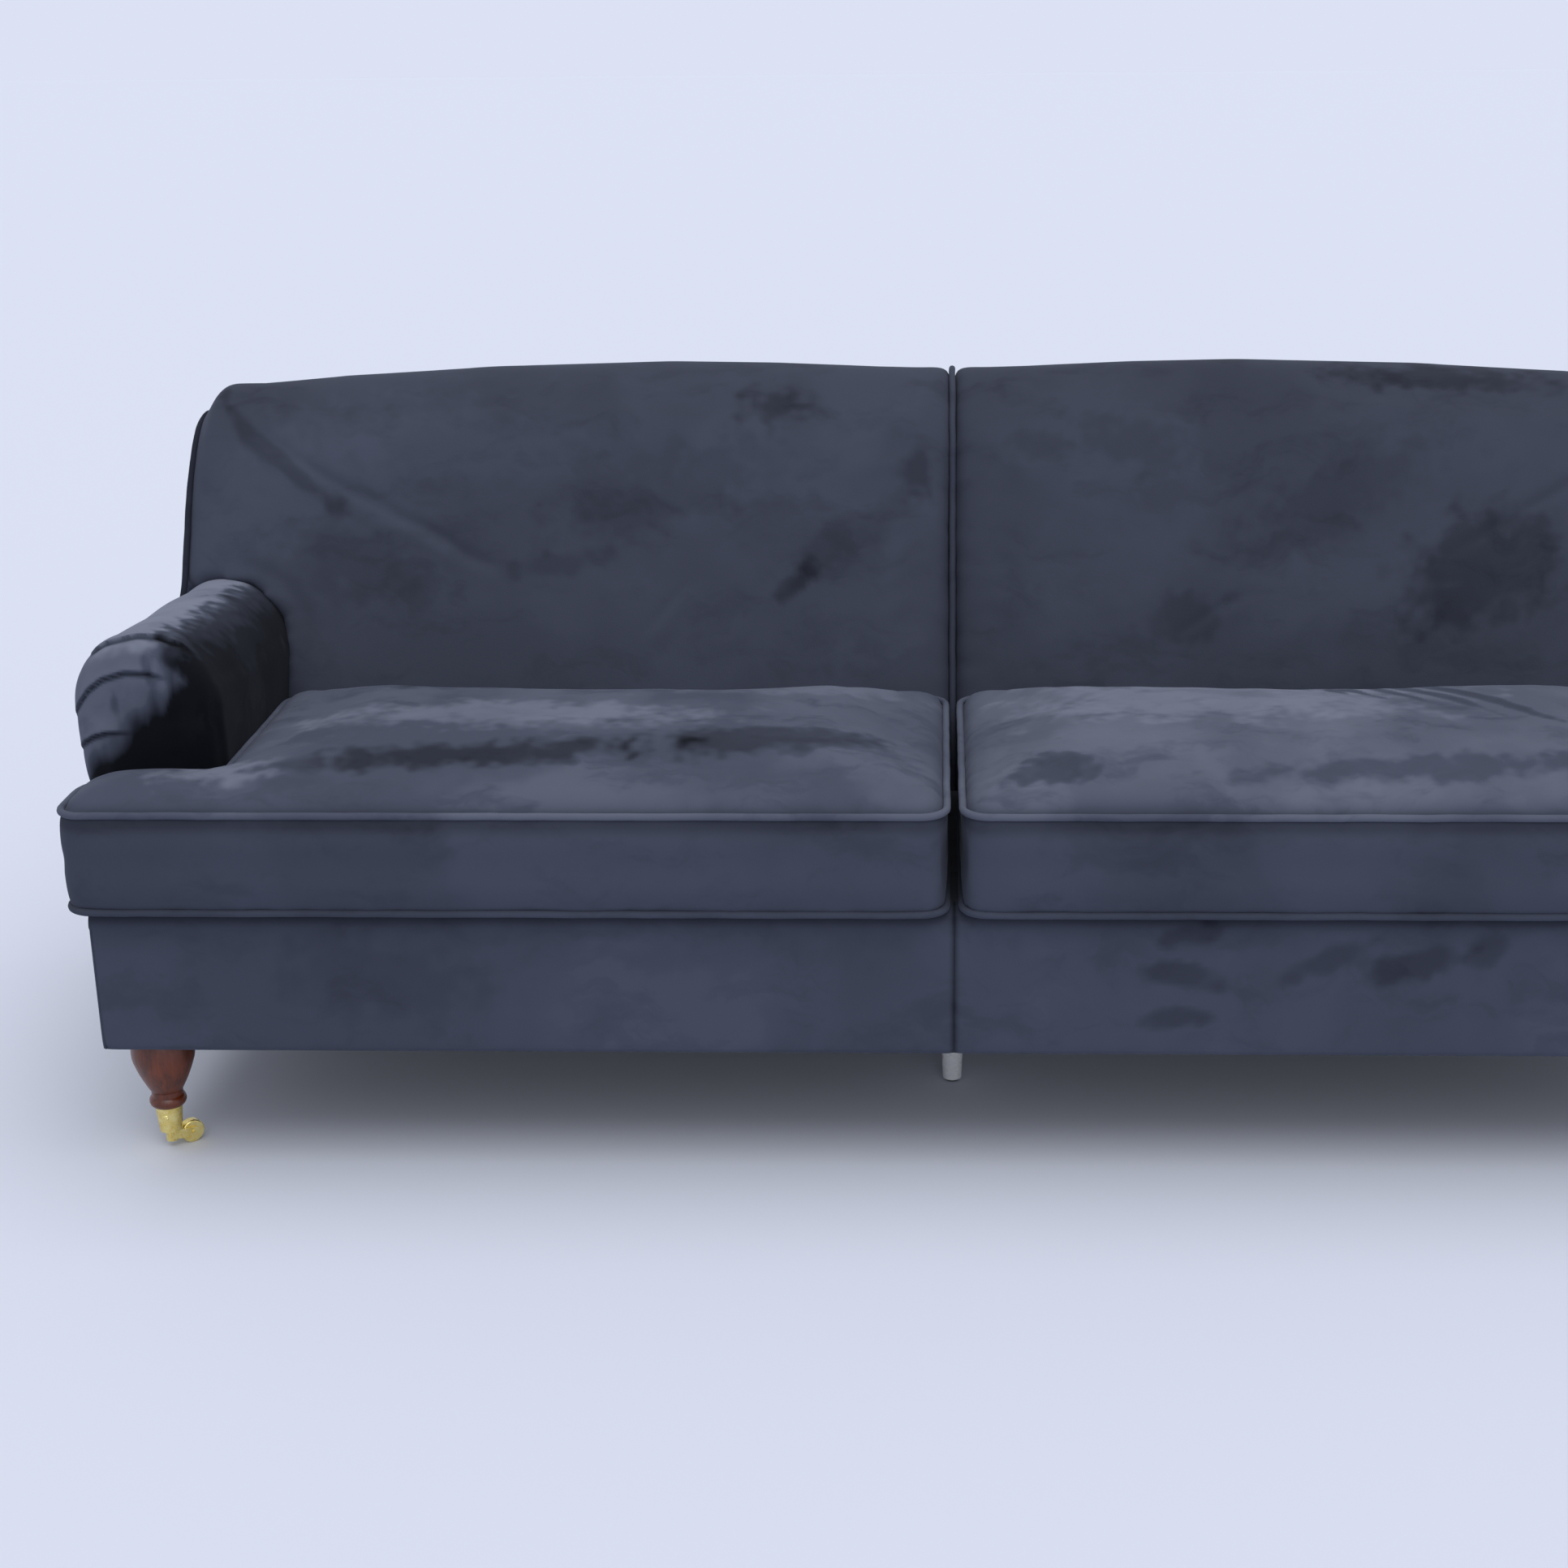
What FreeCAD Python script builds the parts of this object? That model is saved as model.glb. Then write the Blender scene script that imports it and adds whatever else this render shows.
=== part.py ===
import FreeCAD
import Part
import math
import os

# Upholstered roll-arm sofa, in millimetres. +X is to the right as seen from the front, the front faces -Y,
# +Z is up and the origin is on the floor under the middle of the outline.

# Overall form
BASE_WIDTH = 2100.0
BASE_DEPTH = 752.0
BACK_RAKE = 98.0
SEAT_NOSE = 30.0
LEG_HEIGHT = 165.0
DECK_RISE = 185.0
BACK_RISE = 543.0

# Cloth, padding and clearances
COVER = 2.0
EASE = 0.4
DUST_CLOTH = 1.2
SEAM_GAP = 0.6
FRONT_PAD = 10.0
FRONT_ROLL = 22.0
SEAT_FELT = 8.0

# Seat frame timber
RAIL = 28.0
RAIL_DROP = 20.0
CENTRE_RAIL = 30.0
CENTRE_RAIL_DROP = 60.0
SPRING_RAIL = 28.0
SPRING_RAIL_SETBACK = 29.0
CORNER_BLOCK = 120.0
CORNER_BLOCK_HEIGHT = 70.0
POST = 45.0
ARM_POST_DEPTH = 70.0
ARM_RAIL_HEIGHT = 40.0
ARM_RAIL_WIDTH = 62.0

# Rolled arms
ARM_OVERHANG = 42.0
ARM_WIDTH = 175.0
ARM_RISE = 300.0
ARM_FALL = 45.0
ARM_CROWN = 80.0
ARM_SETBACK = 130.0
ARM_PAD = 30.0
ARM_FACE_PAD = 45.0
ARM_TOP_PAD = 60.0
ROLL_TUCK = 16.0
ROLL_DEPTH = 150.0
ROLL_BULGE = 5.0
ARM_DOME = ((0.0, 34.0), (5.0, 16.0), (16.0, 5.0), (36.0, 0.0))

# Padded back
SEAT_DEPTH = 441.0
BACK_LEAN = 21.5
BACK_BULGE = 16.0
CREST_HEIGHT = 93.0
BROW_DEPTH = 92.0
BROW_DROP = 9.0
REAR_SHOULDER = 80.0
BACK_PAD = 80.0
BACK_TOP_PAD = 78.0
BACK_POST_DEPTH = 68.0
CENTRE_POST_REAR_GAP = 41.0
TOP_RAIL_REAR_GAP = 30.0
TOP_RAIL_HEIGHT = 35.0
LOWER_RAIL_HEIGHT = 60.0
LOWER_RAIL_RISE = 50.0
WEBBING = 2.0
WEBBING_WIDTH = 60.0
WEBBING_STRIPS = 5
PANEL_GAP = 3.0
BACK_EDGE_INSET = 6.0
SIDE_SEAT_DROP = 35.0

# Shape of one back panel from the centre groove to the outer edge: measured from either edge,
# each station has its distance, how far the face is drawn in and how far the crest drops
GROOVE_STATIONS = ((0.0, 26.0, 18.0), (11.0, 12.0, 14.0), (42.0, 4.0, 12.0), (117.0, 0.0, 9.0))
CROWN_STATIONS = ((247.0, -2.0, 3.0), (397.0, -4.0, 0.0), (647.0, -2.0, 7.0))
EDGE_STATIONS = ((216.0, 0.0, 20.0), (86.0, 3.0, 32.0), (46.0, 8.0, 48.0), (22.0, 24.0, 95.0),
                 (8.0, 52.0, 150.0), (0.0, 95.0, 205.0))

# Loose seat cushions
PIPING = 4.5
CUSHION_BORDER = 123.0
CUSHION_FOOT = 5.0
CUSHION_CROWN = ((0.0, 0.0), (10.0, 14.0), (30.0, 22.0), (58.0, 28.0))
CUSHION_DOME = ((58.0, 28.0), (120.0, 34.0), (190.0, 37.0))
BORDER_DRAW = 6.0
FOOT_INSET = 14.0
CUSHION_GAP = 3.0
CUSHION_ARM_GAP = 4.0
CUSHION_BACK_GAP = 5.0
CUSHION_WING_OUT = 23.0
CUSHION_CORNER = 30.0
CUSHION_WING_CORNER = 64.0
CUSHION_INNER_CORNER = 12.0

# Zigzag seat springs
SPRING_WIRE = 3.8
SPRING_HALF_WIDTH = 25.0
SPRING_PITCH = 22.0
SPRING_COUNT = 5
SPRING_SIDE_GAP = 82.0
CLIP_WIDTH = 30.0
CLIP_DEPTH = 14.0
CLIP_HEIGHT = 8.4

# Front legs and casters
LEG_INSET_X = 54.0
LEG_INSET_Y = 65.0
LEG_TOP_RADIUS = 29.0
LEG_SHOULDER_RADIUS = 38.0
LEG_SHOULDER_HEIGHT = 124.0
LEG_WAIST_RADIUS = 30.0
LEG_WAIST_HEIGHT = 102.0
LEG_NECK_RADIUS = 19.5
LEG_NECK_HEIGHT = 81.0
LEG_BEAD_RADIUS = 23.0
LEG_BEAD_HEIGHT = 14.0
LEG_SWELL = 4.0
CUP_TOP = 60.0
CUP_BOTTOM = 25.0
CUP_TOP_RADIUS = 17.3
CUP_BOTTOM_RADIUS = 14.0
CUP_WALL = 1.8
CUP_FLOOR = 5.0
CUP_SCREW = 5.0
WHEEL_RADIUS = 15.0
WHEEL_WIDTH = 12.0
WHEEL_EDGE = 2.0
TRAIL = 26.5
TRAIL_ANGLE = 40.0
BOSS_RADIUS = 7.4
BOSS_LOW = 10.0
SWIVEL_PIN_RADIUS = 4.0
PIN_HEAD_RADIUS = 6.0
PIN_HEAD_HEIGHT = 2.0
CHEEK = 3.0
CHEEK_RADIUS = 7.0
AXLE_RADIUS = 2.5
RIVET_RADIUS = 3.6
RIVET_HEIGHT = 1.0
RUNNING_GAP = 0.1
SIDE_GAP = 0.4
SPIGOT_GAP = 1.2
CROWN_GAP = 1.2

# Rear legs, support leg and fasteners
REAR_LEG_TOP = 50.0
REAR_LEG_FOOT = 32.0
REAR_LEG_INSET = 35.0
REAR_SPLAY_BACK = 55.0
REAR_SPLAY_OUT = 12.0
GLIDE_HEIGHT = 5.0
GLIDE_RADIUS = 12.0
BOLT_RADIUS = 4.0
BOLT_IN_LEG = 35.0
BOLT_ABOVE_NUT = 6.0
NUT_FLANGE_RADIUS = 11.0
NUT_FLANGE = 1.5
NUT_BARREL_RADIUS = 5.5
NUT_BARREL = 11.0
SUPPORT_SETBACK = 276.0
SUPPORT_TOP_RADIUS = 18.0
SUPPORT_FOOT_RADIUS = 12.6
SUPPORT_PLATE = 80.0
SUPPORT_PLATE_WIDTH = 56.0
SUPPORT_PLATE_THICK = 3.0
SUPPORT_GLIDE = 3.0
SUPPORT_GLIDE_RADIUS = 10.0
PLATE_SCREW_RADIUS = 2.0
PLATE_SCREW_HEAD = 3.8
PLATE_SCREW_HEAD_HEIGHT = 2.0
PLATE_SCREW_LENGTH = 28.0
PLATE_SCREW_SPAN_X = 18.0
PLATE_SCREW_SPAN_Y = 60.0

# Places worked out from the driving dimensions
DEPTH = SEAT_NOSE + BASE_DEPTH + BACK_RAKE
FRONT = -DEPTH / 2 + SEAT_NOSE
REAR = FRONT + BASE_DEPTH
HALF = BASE_WIDTH / 2
DECK = LEG_HEIGHT + DECK_RISE
FRAME_BOTTOM = LEG_HEIGHT + DUST_CLOTH
RAIL_TOP = DECK - RAIL_DROP
LAYER = COVER + EASE
ARM_OUT = HALF + ARM_OVERHANG
ARM_IN = ARM_OUT - ARM_WIDTH
ARM_FRONT = FRONT + ARM_SETBACK
ARM_TOP = DECK + ARM_RISE
ARM_SIDE = HALF - LAYER
ARM_CAVITY_TOP = ARM_TOP - ARM_FALL - ARM_TOP_PAD
ARM_TUCK = ARM_TOP - ARM_CROWN - ROLL_DEPTH
BACK_TOP = DECK + BACK_RISE
BACK_FACE = FRONT + SEAT_DEPTH
BACK_LOW = RAIL_TOP + CLIP_HEIGHT + EASE
BACK_EDGE = ARM_OUT - BACK_EDGE_INSET
LEAN = math.tan(math.radians(BACK_LEAN))
LEAN_COS = math.cos(math.radians(BACK_LEAN))
REAR_SLOPE = BACK_RAKE / (BACK_TOP - REAR_SHOULDER - LEG_HEIGHT)
RAIL_FRONT = FRONT + LAYER + FRONT_PAD + EASE
RAIL_SIDE = HALF - LAYER
RAIL_INNER = RAIL_SIDE - RAIL
POST_INNER = RAIL_INNER - POST
REAR_RAIL_BACK = REAR - LAYER
CUSHION_BOTTOM = DECK + EASE
LOWER_SEAM = CUSHION_BOTTOM + CUSHION_FOOT
UPPER_SEAM = LOWER_SEAM + CUSHION_BORDER
REACH = 2 * BASE_WIDTH
X_AXIS = FreeCAD.Vector(1, 0, 0)
Y_AXIS = FreeCAD.Vector(0, 1, 0)
Z_AXIS = FreeCAD.Vector(0, 0, 1)
ORIGIN = FreeCAD.Vector(0, 0, 0)


def vec(x, y, z):
    return FreeCAD.Vector(x, y, z)


def block(x0, x1, y0, y1, z0, z1):
    """A box between two corners."""
    return Part.makeBox(x1 - x0, y1 - y0, z1 - z0, vec(x0, y0, z0))


def rod(radius, length, base, direction=Z_AXIS):
    return Part.makeCylinder(radius, length, base, direction)


def turned(points):
    """A solid turned about the Z axis from (radius, height) points."""
    outline = Part.makePolygon([vec(r, 0, z) for r, z in points + [points[0]]])
    return Part.Face(outline).revolve(ORIGIN, Z_AXIS, 360)


def prism_x(points, x0, x1):
    """A (y, z) polygon drawn out along X."""
    outline = Part.makePolygon([vec(x0, y, z) for y, z in points + [points[0]]])
    return Part.Face(outline).extrude(vec(x1 - x0, 0, 0))


def prism_y(points, y0, y1):
    """An (x, z) polygon drawn out along Y."""
    outline = Part.makePolygon([vec(x, y0, z) for x, z in points + [points[0]]])
    return Part.Face(outline).extrude(vec(0, y1 - y0, 0))


def prism_z(points, z0, z1):
    """An (x, y) polygon drawn out along Z."""
    outline = Part.makePolygon([vec(x, y, z0) for x, y in points + [points[0]]])
    return Part.Face(outline).extrude(vec(0, 0, z1 - z0))


def mirrored(shape):
    return shape.mirror(ORIGIN, X_AXIS)


def save(name, *shapes):
    """Write one node; several shapes are separate solids of the same node."""
    solids = [solid for shape in shapes for solid in shape.Solids]
    node = solids[0] if len(solids) == 1 else Part.makeCompound(solids)
    node.exportStep("parts/" + name + ".step")


def save_pair(name, shape):
    """Write the +X piece and its mirror image."""
    save("right_" + name, shape)
    save("left_" + name, mirrored(shape))


def rear_line(z, inset=0.0):
    """Depth of the leaning outside back at a height."""
    return REAR - inset + (z - LEG_HEIGHT) * REAR_SLOPE


def behind_rear(inset):
    """Everything behind the outside back's plane, moved forward by the inset."""
    low, high = -REACH, REACH
    points = [(rear_line(low, inset), low), (REACH, low), (REACH, high), (rear_line(high, inset), high)]
    return prism_x(points, -REACH, REACH)


def lean_point(depth, z):
    """A (y, z) point behind the back's straight face line."""
    return BACK_FACE + (z - DECK) * LEAN + depth / LEAN_COS, z


def lean_prism(depth0, depth1, z0, z1, x0, x1):
    """A timber that leans with the back."""
    points = [lean_point(depth0, z0), lean_point(depth1, z0), lean_point(depth1, z1), lean_point(depth0, z1)]
    return prism_x(points, x0, x1)


# Rolled arm
def arm_section(y, inset, drop, reach):
    """Closed outline of the +X arm across its length, drawn on downwards by the reach."""
    spring = ARM_TOP - ARM_CROWN - drop
    inner_low = vec(ARM_IN + inset, y, RAIL_TOP - reach)
    inner_top = vec(ARM_IN + inset, y, spring)
    crown = vec(ARM_OUT - ARM_WIDTH / 2, y, ARM_TOP - drop - inset)
    outer_top = vec(ARM_OUT - inset, y, spring)
    tuck = vec(ARM_OUT - ROLL_TUCK - inset, y, ARM_TUCK)
    swell = vec((outer_top.x + tuck.x) / 2 + ROLL_BULGE, y, (outer_top.z + tuck.z) / 2)
    side_low = vec(ARM_SIDE - inset, y, DECK)
    edges = [Part.makeLine(inner_low, inner_top), Part.Arc(inner_top, crown, outer_top).toShape(),
             Part.Arc(outer_top, swell, tuck).toShape(), Part.makeLine(tuck, side_low)]
    outer_low = vec(side_low.x, y, inner_low.z)
    edges += [Part.makeLine(side_low, outer_low), Part.makeLine(outer_low, inner_low)]
    return Part.Wire(edges)


def arm_body(inset, reach=0.0):
    """The +X arm, drawn in by the inset, from its domed front to behind the outside back."""
    wires = [arm_section(ARM_FRONT + inset + back, inset + shrink, 0.0, reach) for back, shrink in ARM_DOME]
    wires.append(arm_section(REAR + BACK_RAKE, inset, ARM_FALL, reach))
    return Part.makeLoft(wires, True, True)


def arm_cavity(front):
    """Space inside the arm for its timber, open to the outside below the roll."""
    inner = ARM_IN + ARM_PAD
    below_roll = block(inner, REACH, front, REACH, 0, ARM_TUCK)
    round_rail = block(inner, POST_INNER + ARM_RAIL_WIDTH + EASE, front, REACH, 0, ARM_CAVITY_TOP)
    return below_roll.fuse(round_rail)


def back_cavity(pad):
    """Space behind the back's padding, open to the rear and below."""
    top = BACK_TOP - BACK_TOP_PAD
    front_low = lean_point(pad, 0)
    front_top = lean_point(pad, top)
    points = [front_low, front_top, (REACH, top), (REACH, 0)]
    side = RAIL_INNER + EASE
    return prism_x(points, -side, side)


# Padded back
def arc_on(start, heading, end):
    """The arc that leaves a point along a heading and meets the end, with its heading there."""
    chord = end - start
    side = (chord - heading * chord.dot(heading)).normalize()
    radius = chord.dot(chord) / (2 * chord.dot(side))
    centre = start + side * radius
    middle = centre + ((start + end) * 0.5 - centre).normalize() * radius
    along = (end - start).normalize()
    return Part.Arc(start, middle, end).toShape(), along * (2 * along.dot(heading)) - heading


def back_profile(x, inset, drawn, drop):
    """Face, brow and crest of the back as three arcs that run on smoothly."""
    foot_y, low = lean_point(0, BACK_LOW)
    front_y, front_z = lean_point(0, BACK_TOP - CREST_HEIGHT - drop)
    rear_z = BACK_TOP - REAR_SHOULDER - drop - inset
    foot = vec(x, foot_y + inset + drawn, low)
    front = vec(x, front_y + inset + drawn, front_z)
    middle = vec(x, (foot.y + front.y) / 2 - BACK_BULGE, (low + front_z) / 2)
    brow = vec(x, front_y + BROW_DEPTH + drawn / 2, BACK_TOP - BROW_DROP - drop - inset)
    rear = vec(x, rear_line(rear_z, LAYER), rear_z)
    face = Part.Arc(foot, middle, front).toShape()
    top_front, heading = arc_on(front, face.tangentAt(face.LastParameter), brow)
    top_rear, _ = arc_on(brow, heading, rear)
    return [face, top_front, top_rear], foot, rear


def back_section(x, inset, drawn, drop, reach=0.0):
    """Closed outline of the back across its thickness, drawn on down and rearwards by the reach."""
    edges, foot, rear = back_profile(x, inset, drawn, drop)
    corners = [rear, vec(x, rear_line(foot.z, LAYER), foot.z), foot]
    if reach:
        behind = rear + vec(0, reach, 0)
        corners = [rear, behind, vec(x, behind.y, foot.z - reach), foot - vec(0, 0, reach), foot]
    return Part.Wire(edges + [Part.makeLine(start, end) for start, end in zip(corners, corners[1:])])


def panel_stations():
    """Stations of the +X back panel as (x, drawn in, drop)."""
    groove = [(PANEL_GAP + away, drawn, drop) for away, drawn, drop in GROOVE_STATIONS]
    crown = [(PANEL_GAP + away, drawn, drop) for away, drawn, drop in CROWN_STATIONS]
    edge = [(BACK_EDGE - away, drawn, drop) for away, drawn, drop in EDGE_STATIONS]
    return groove + crown + edge


def back_body(inset, reach=0.0):
    """The +X half of the padded back, drawn in by the inset."""
    groove_end = PANEL_GAP + GROOVE_STATIONS[-1][0]
    edge_start = BACK_EDGE - EDGE_STATIONS[0][0]
    wires = []
    for x, drawn, drop in panel_stations():
        side = inset * (x <= groove_end) - inset * (x >= edge_start)
        wires.append(back_section(x + side, inset, drawn, drop, reach))
    return Part.makeLoft(wires, True, True)


def arm_clearance():
    """Room that the +X arm and everything under its roll takes out of the back."""
    under = block(ARM_IN - EASE, REACH, -REACH, REACH, 0, ARM_TOP - ARM_CROWN - ARM_FALL)
    beside = block(ARM_OUT - ARM_WIDTH / 2, REACH, -REACH, REACH, 0, ARM_TOP - ARM_FALL - SIDE_SEAT_DROP)
    return arm_body(-EASE, RAIL_TOP).fuse([under, beside])


def build_arm():
    rear_cut = behind_rear(LAYER)
    inside_back = back_cavity(BACK_PAD - EASE)
    skin = arm_body(0.0).cut(arm_body(COVER, RAIL_TOP))
    open_side = block(ARM_SIDE - ARM_PAD, REACH, ARM_FRONT + ARM_FACE_PAD, REACH, 0, ARM_TUCK)
    cover = skin.cut(open_side).cut(rear_cut).cut(inside_back)
    pad = arm_body(LAYER).cut(arm_cavity(ARM_FRONT + ARM_FACE_PAD)).cut(rear_cut).cut(inside_back)
    save_pair("arm_cover", cover)
    save_pair("arm_pad", pad)


def build_back():
    arm_room = arm_clearance()
    side = RAIL_INNER + EASE
    frame_top = BACK_TOP - BACK_TOP_PAD
    frame_rear = frame_depth(frame_top, TOP_RAIL_REAR_GAP) + EASE
    frame_room = lean_prism(BACK_PAD - EASE, frame_rear, 0, frame_top, -side, side)
    skin = back_body(0.0).cut(back_body(COVER, RAIL_TOP))
    save_pair("back_cover", skin.cut(frame_room).cut(arm_room))
    save_pair("back_pad", back_body(LAYER).cut(back_cavity(BACK_PAD)).cut(arm_room))
    save_pair("back_piping", edge_piping(arm_room))
    save("centre_back_piping", centre_piping())


def cord_along(edges, radius):
    """A round cord along arcs and lines that run on smoothly."""
    first = edges[0]
    ring = Part.makeCircle(radius, first.valueAt(first.FirstParameter), first.tangentAt(first.FirstParameter))
    return Part.Wire(edges).makePipeShell([Part.Wire(ring)], True, False)


def centre_piping():
    """The cord that lies in the groove between the two back panels."""
    _, drawn, drop = GROOVE_STATIONS[0]
    touch = PIPING + EASE / 2
    sink = drawn - math.sqrt(touch ** 2 - PANEL_GAP ** 2) - EASE / 2
    edges, _, _ = back_profile(0.0, 0.0, sink, drop - PIPING)
    return cord_along(edges, PIPING)


def edge_piping(arm_room):
    """The cord at the outer edge of the +X back panel, down to the arm."""
    away, drawn, drop = EDGE_STATIONS[3]
    out = (PIPING + EASE / 2) * math.sqrt(0.5)
    edges, _, _ = back_profile(BACK_EDGE - away + out, 0.0, drawn - out, drop - out)
    return cord_along(edges, PIPING).cut(arm_room)


# Seat cushions
def cushion_outline(inset, z, rear):
    """Rounded L of the +X cushion at one height."""
    near = CUSHION_GAP + 2 * PIPING + inset
    wing = HALF + CUSHION_WING_OUT - 2 * PIPING - inset
    side = ARM_IN - CUSHION_ARM_GAP - 2 * PIPING - inset
    front = -DEPTH / 2 + 2 * PIPING + inset
    step = ARM_FRONT - CUSHION_ARM_GAP - 2 * PIPING - inset
    back = rear - inset
    corners = [(near, front), (wing, front), (wing, step), (side, step), (side, back), (near, back)]
    outer = max(CUSHION_CORNER - inset, PIPING)
    wing_rear = max(CUSHION_WING_CORNER - inset, PIPING)
    inner = CUSHION_INNER_CORNER + inset
    radii = [outer, outer, wing_rear, inner, outer, outer]
    return rounded_wire(corners, radii, z)


def rounded_wire(corners, radii, z):
    """A closed polygon with an arc at each corner."""
    count = len(corners)
    spots = [vec(x, y, z) for x, y in corners]
    entries, arcs = [], []
    for index, spot in enumerate(spots):
        before = (spots[index - 1] - spot).normalize()
        after = (spots[(index + 1) % count] - spot).normalize()
        radius = radii[index]
        start = spot + before * radius
        end = spot + after * radius
        middle = spot + (before + after) * (radius * (1 - math.sqrt(0.5)))
        entries.append((start, end))
        arcs.append(Part.Arc(start, middle, end).toShape())
    edges = []
    for index in range(count):
        edges.append(arcs[index])
        edges.append(Part.makeLine(entries[index][1], entries[(index + 1) % count][0]))
    return Part.Wire(edges)


def cushion_rear(z):
    """Rear edge of the cushion at a height, clear of the leaning back."""
    return lean_point(0, min(z, UPPER_SEAM))[0] - BACK_BULGE - CUSHION_BACK_GAP - 2 * PIPING


def cushion_body(inset):
    """The +X cushion: flat foot, drawn-in border, crowned top and a low dome."""
    middle = (LOWER_SEAM + UPPER_SEAM) / 2
    levels = [(FOOT_INSET, CUSHION_BOTTOM + inset), (0.0, LOWER_SEAM), (BORDER_DRAW, middle)]
    levels += [(shrink, UPPER_SEAM + rise - inset) for shrink, rise in CUSHION_CROWN]
    wires = [cushion_outline(inset + shrink, z, cushion_rear(z)) for shrink, z in levels]
    body = Part.makeLoft(wires, True, True)
    return body.fuse(cushion_dome(inset))


def cushion_dome(inset):
    """The rise over the main part of the seat."""
    wires = []
    for shrink, rise in CUSHION_DOME:
        room = inset + shrink
        near = CUSHION_GAP + 2 * PIPING + room
        side = ARM_IN - CUSHION_ARM_GAP - 2 * PIPING - room
        front = -DEPTH / 2 + 2 * PIPING + room
        rear = cushion_rear(UPPER_SEAM) - room
        corners = [(near, front), (side, front), (side, rear), (near, rear)]
        wires.append(rounded_wire(corners, [CUSHION_INNER_CORNER] * len(corners), UPPER_SEAM + rise - inset))
    return Part.makeLoft(wires, True, True)


def cushion_piping(z):
    """A cord round the cushion at one of its seams."""
    edges = cushion_outline(-PIPING - EASE / 4, z, cushion_rear(z)).Edges
    return cord_along(edges[1:] + edges[:1], PIPING)


def build_cushions():
    shell = cushion_body(0.0).cut(cushion_body(COVER))
    save_pair("cushion_cover", shell)
    save_pair("cushion_core", cushion_body(LAYER))
    save_pair("cushion_piping", Part.makeCompound([cushion_piping(UPPER_SEAM), cushion_piping(LOWER_SEAM)]))


# Seat frame
def build_seat_frame():
    inner_front = RAIL_FRONT + RAIL
    inner_rear = REAR_RAIL_BACK - RAIL
    save("front_rail", block(-RAIL_SIDE, RAIL_SIDE, RAIL_FRONT, inner_front, FRAME_BOTTOM, RAIL_TOP))
    save("rear_rail", block(-RAIL_INNER, RAIL_INNER, inner_rear, REAR_RAIL_BACK, FRAME_BOTTOM, RAIL_TOP))
    side = block(RAIL_INNER, RAIL_SIDE, inner_front, REAR_RAIL_BACK, FRAME_BOTTOM, RAIL_TOP)
    save("side_rails", side, mirrored(side))
    centre = block(-CENTRE_RAIL / 2, CENTRE_RAIL / 2, inner_front, inner_rear, FRAME_BOTTOM,
                   DECK - CENTRE_RAIL_DROP)
    for x, y in plate_screw_places():
        centre = centre.cut(rod(PLATE_SCREW_RADIUS, REACH, vec(x, y, 0)))
    save("centre_rail", centre)
    spring_y = BACK_FACE + SPRING_RAIL_SETBACK
    save("spring_rail", block(-RAIL_INNER, RAIL_INNER, spring_y, spring_y + SPRING_RAIL,
                              DECK - CENTRE_RAIL_DROP, RAIL_TOP))
    save("corner_blocks", *corner_blocks())


def leg_places():
    """Centres of the +X front and rear leg tops."""
    front = (HALF - LEG_INSET_X, FRONT + LEG_INSET_Y)
    rear = (RAIL_INNER - REAR_LEG_INSET, REAR_RAIL_BACK - RAIL - REAR_LEG_INSET)
    return front, rear


def corner_blocks():
    """Glued triangles in the four frame corners, bored for the leg bolts and their nuts."""
    blocks = []
    top = FRAME_BOTTOM + CORNER_BLOCK_HEIGHT
    corners = ((RAIL_FRONT + RAIL, 1), (REAR_RAIL_BACK - RAIL, -1))
    for (y, way), (leg_x, leg_y) in zip(corners, leg_places()):
        points = [(RAIL_INNER, y), (RAIL_INNER - CORNER_BLOCK, y), (RAIL_INNER, y + way * CORNER_BLOCK)]
        piece = prism_z(points, FRAME_BOTTOM, top)
        piece = piece.cut(rod(BOLT_RADIUS + RUNNING_GAP, REACH, vec(leg_x, leg_y, 0)))
        piece = piece.cut(rod(NUT_BARREL_RADIUS + RUNNING_GAP, REACH, vec(leg_x, leg_y, top - NUT_BARREL)))
        blocks += [piece, mirrored(piece)]
    return blocks


def build_leg_fasteners():
    bolts, nuts = [], []
    seat = FRAME_BOTTOM + CORNER_BLOCK_HEIGHT
    start = LEG_HEIGHT - BOLT_IN_LEG
    for x, y in leg_places():
        bolt = rod(BOLT_RADIUS, seat + NUT_FLANGE + BOLT_ABOVE_NUT - start, vec(x, y, start))
        flange = rod(NUT_FLANGE_RADIUS, NUT_FLANGE, vec(x, y, seat))
        barrel = rod(NUT_BARREL_RADIUS, NUT_BARREL, vec(x, y, seat - NUT_BARREL))
        nut = flange.fuse(barrel).cut(rod(BOLT_RADIUS + RUNNING_GAP, REACH, vec(x, y, 0)))
        bolts += [bolt, mirrored(bolt)]
        nuts += [nut, mirrored(nut)]
    save("leg_bolts", *bolts)
    save("tee_nuts", *nuts)


def build_arm_frame():
    face = ARM_FRONT + ARM_FACE_PAD + EASE
    post_top = ARM_CAVITY_TOP - EASE - ARM_RAIL_HEIGHT
    post = block(POST_INNER, RAIL_INNER, face, face + ARM_POST_DEPTH, FRAME_BOTTOM, post_top)
    save("arm_posts", post, mirrored(post))
    rail_top = post_top + ARM_RAIL_HEIGHT
    back = BACK_PAD + WEBBING
    outline = [(face, post_top), lean_point(back, post_top), lean_point(back, rail_top), (face, rail_top)]
    rail = prism_x(outline, POST_INNER, POST_INNER + ARM_RAIL_WIDTH)
    save("arm_rails", rail, mirrored(rail))


def frame_depth(z, rear_gap):
    """Depth behind the back's face line that leaves a gap to the outside back at a height."""
    return (rear_line(z, LAYER + rear_gap) - lean_point(0, z)[0]) * LEAN_COS


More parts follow.
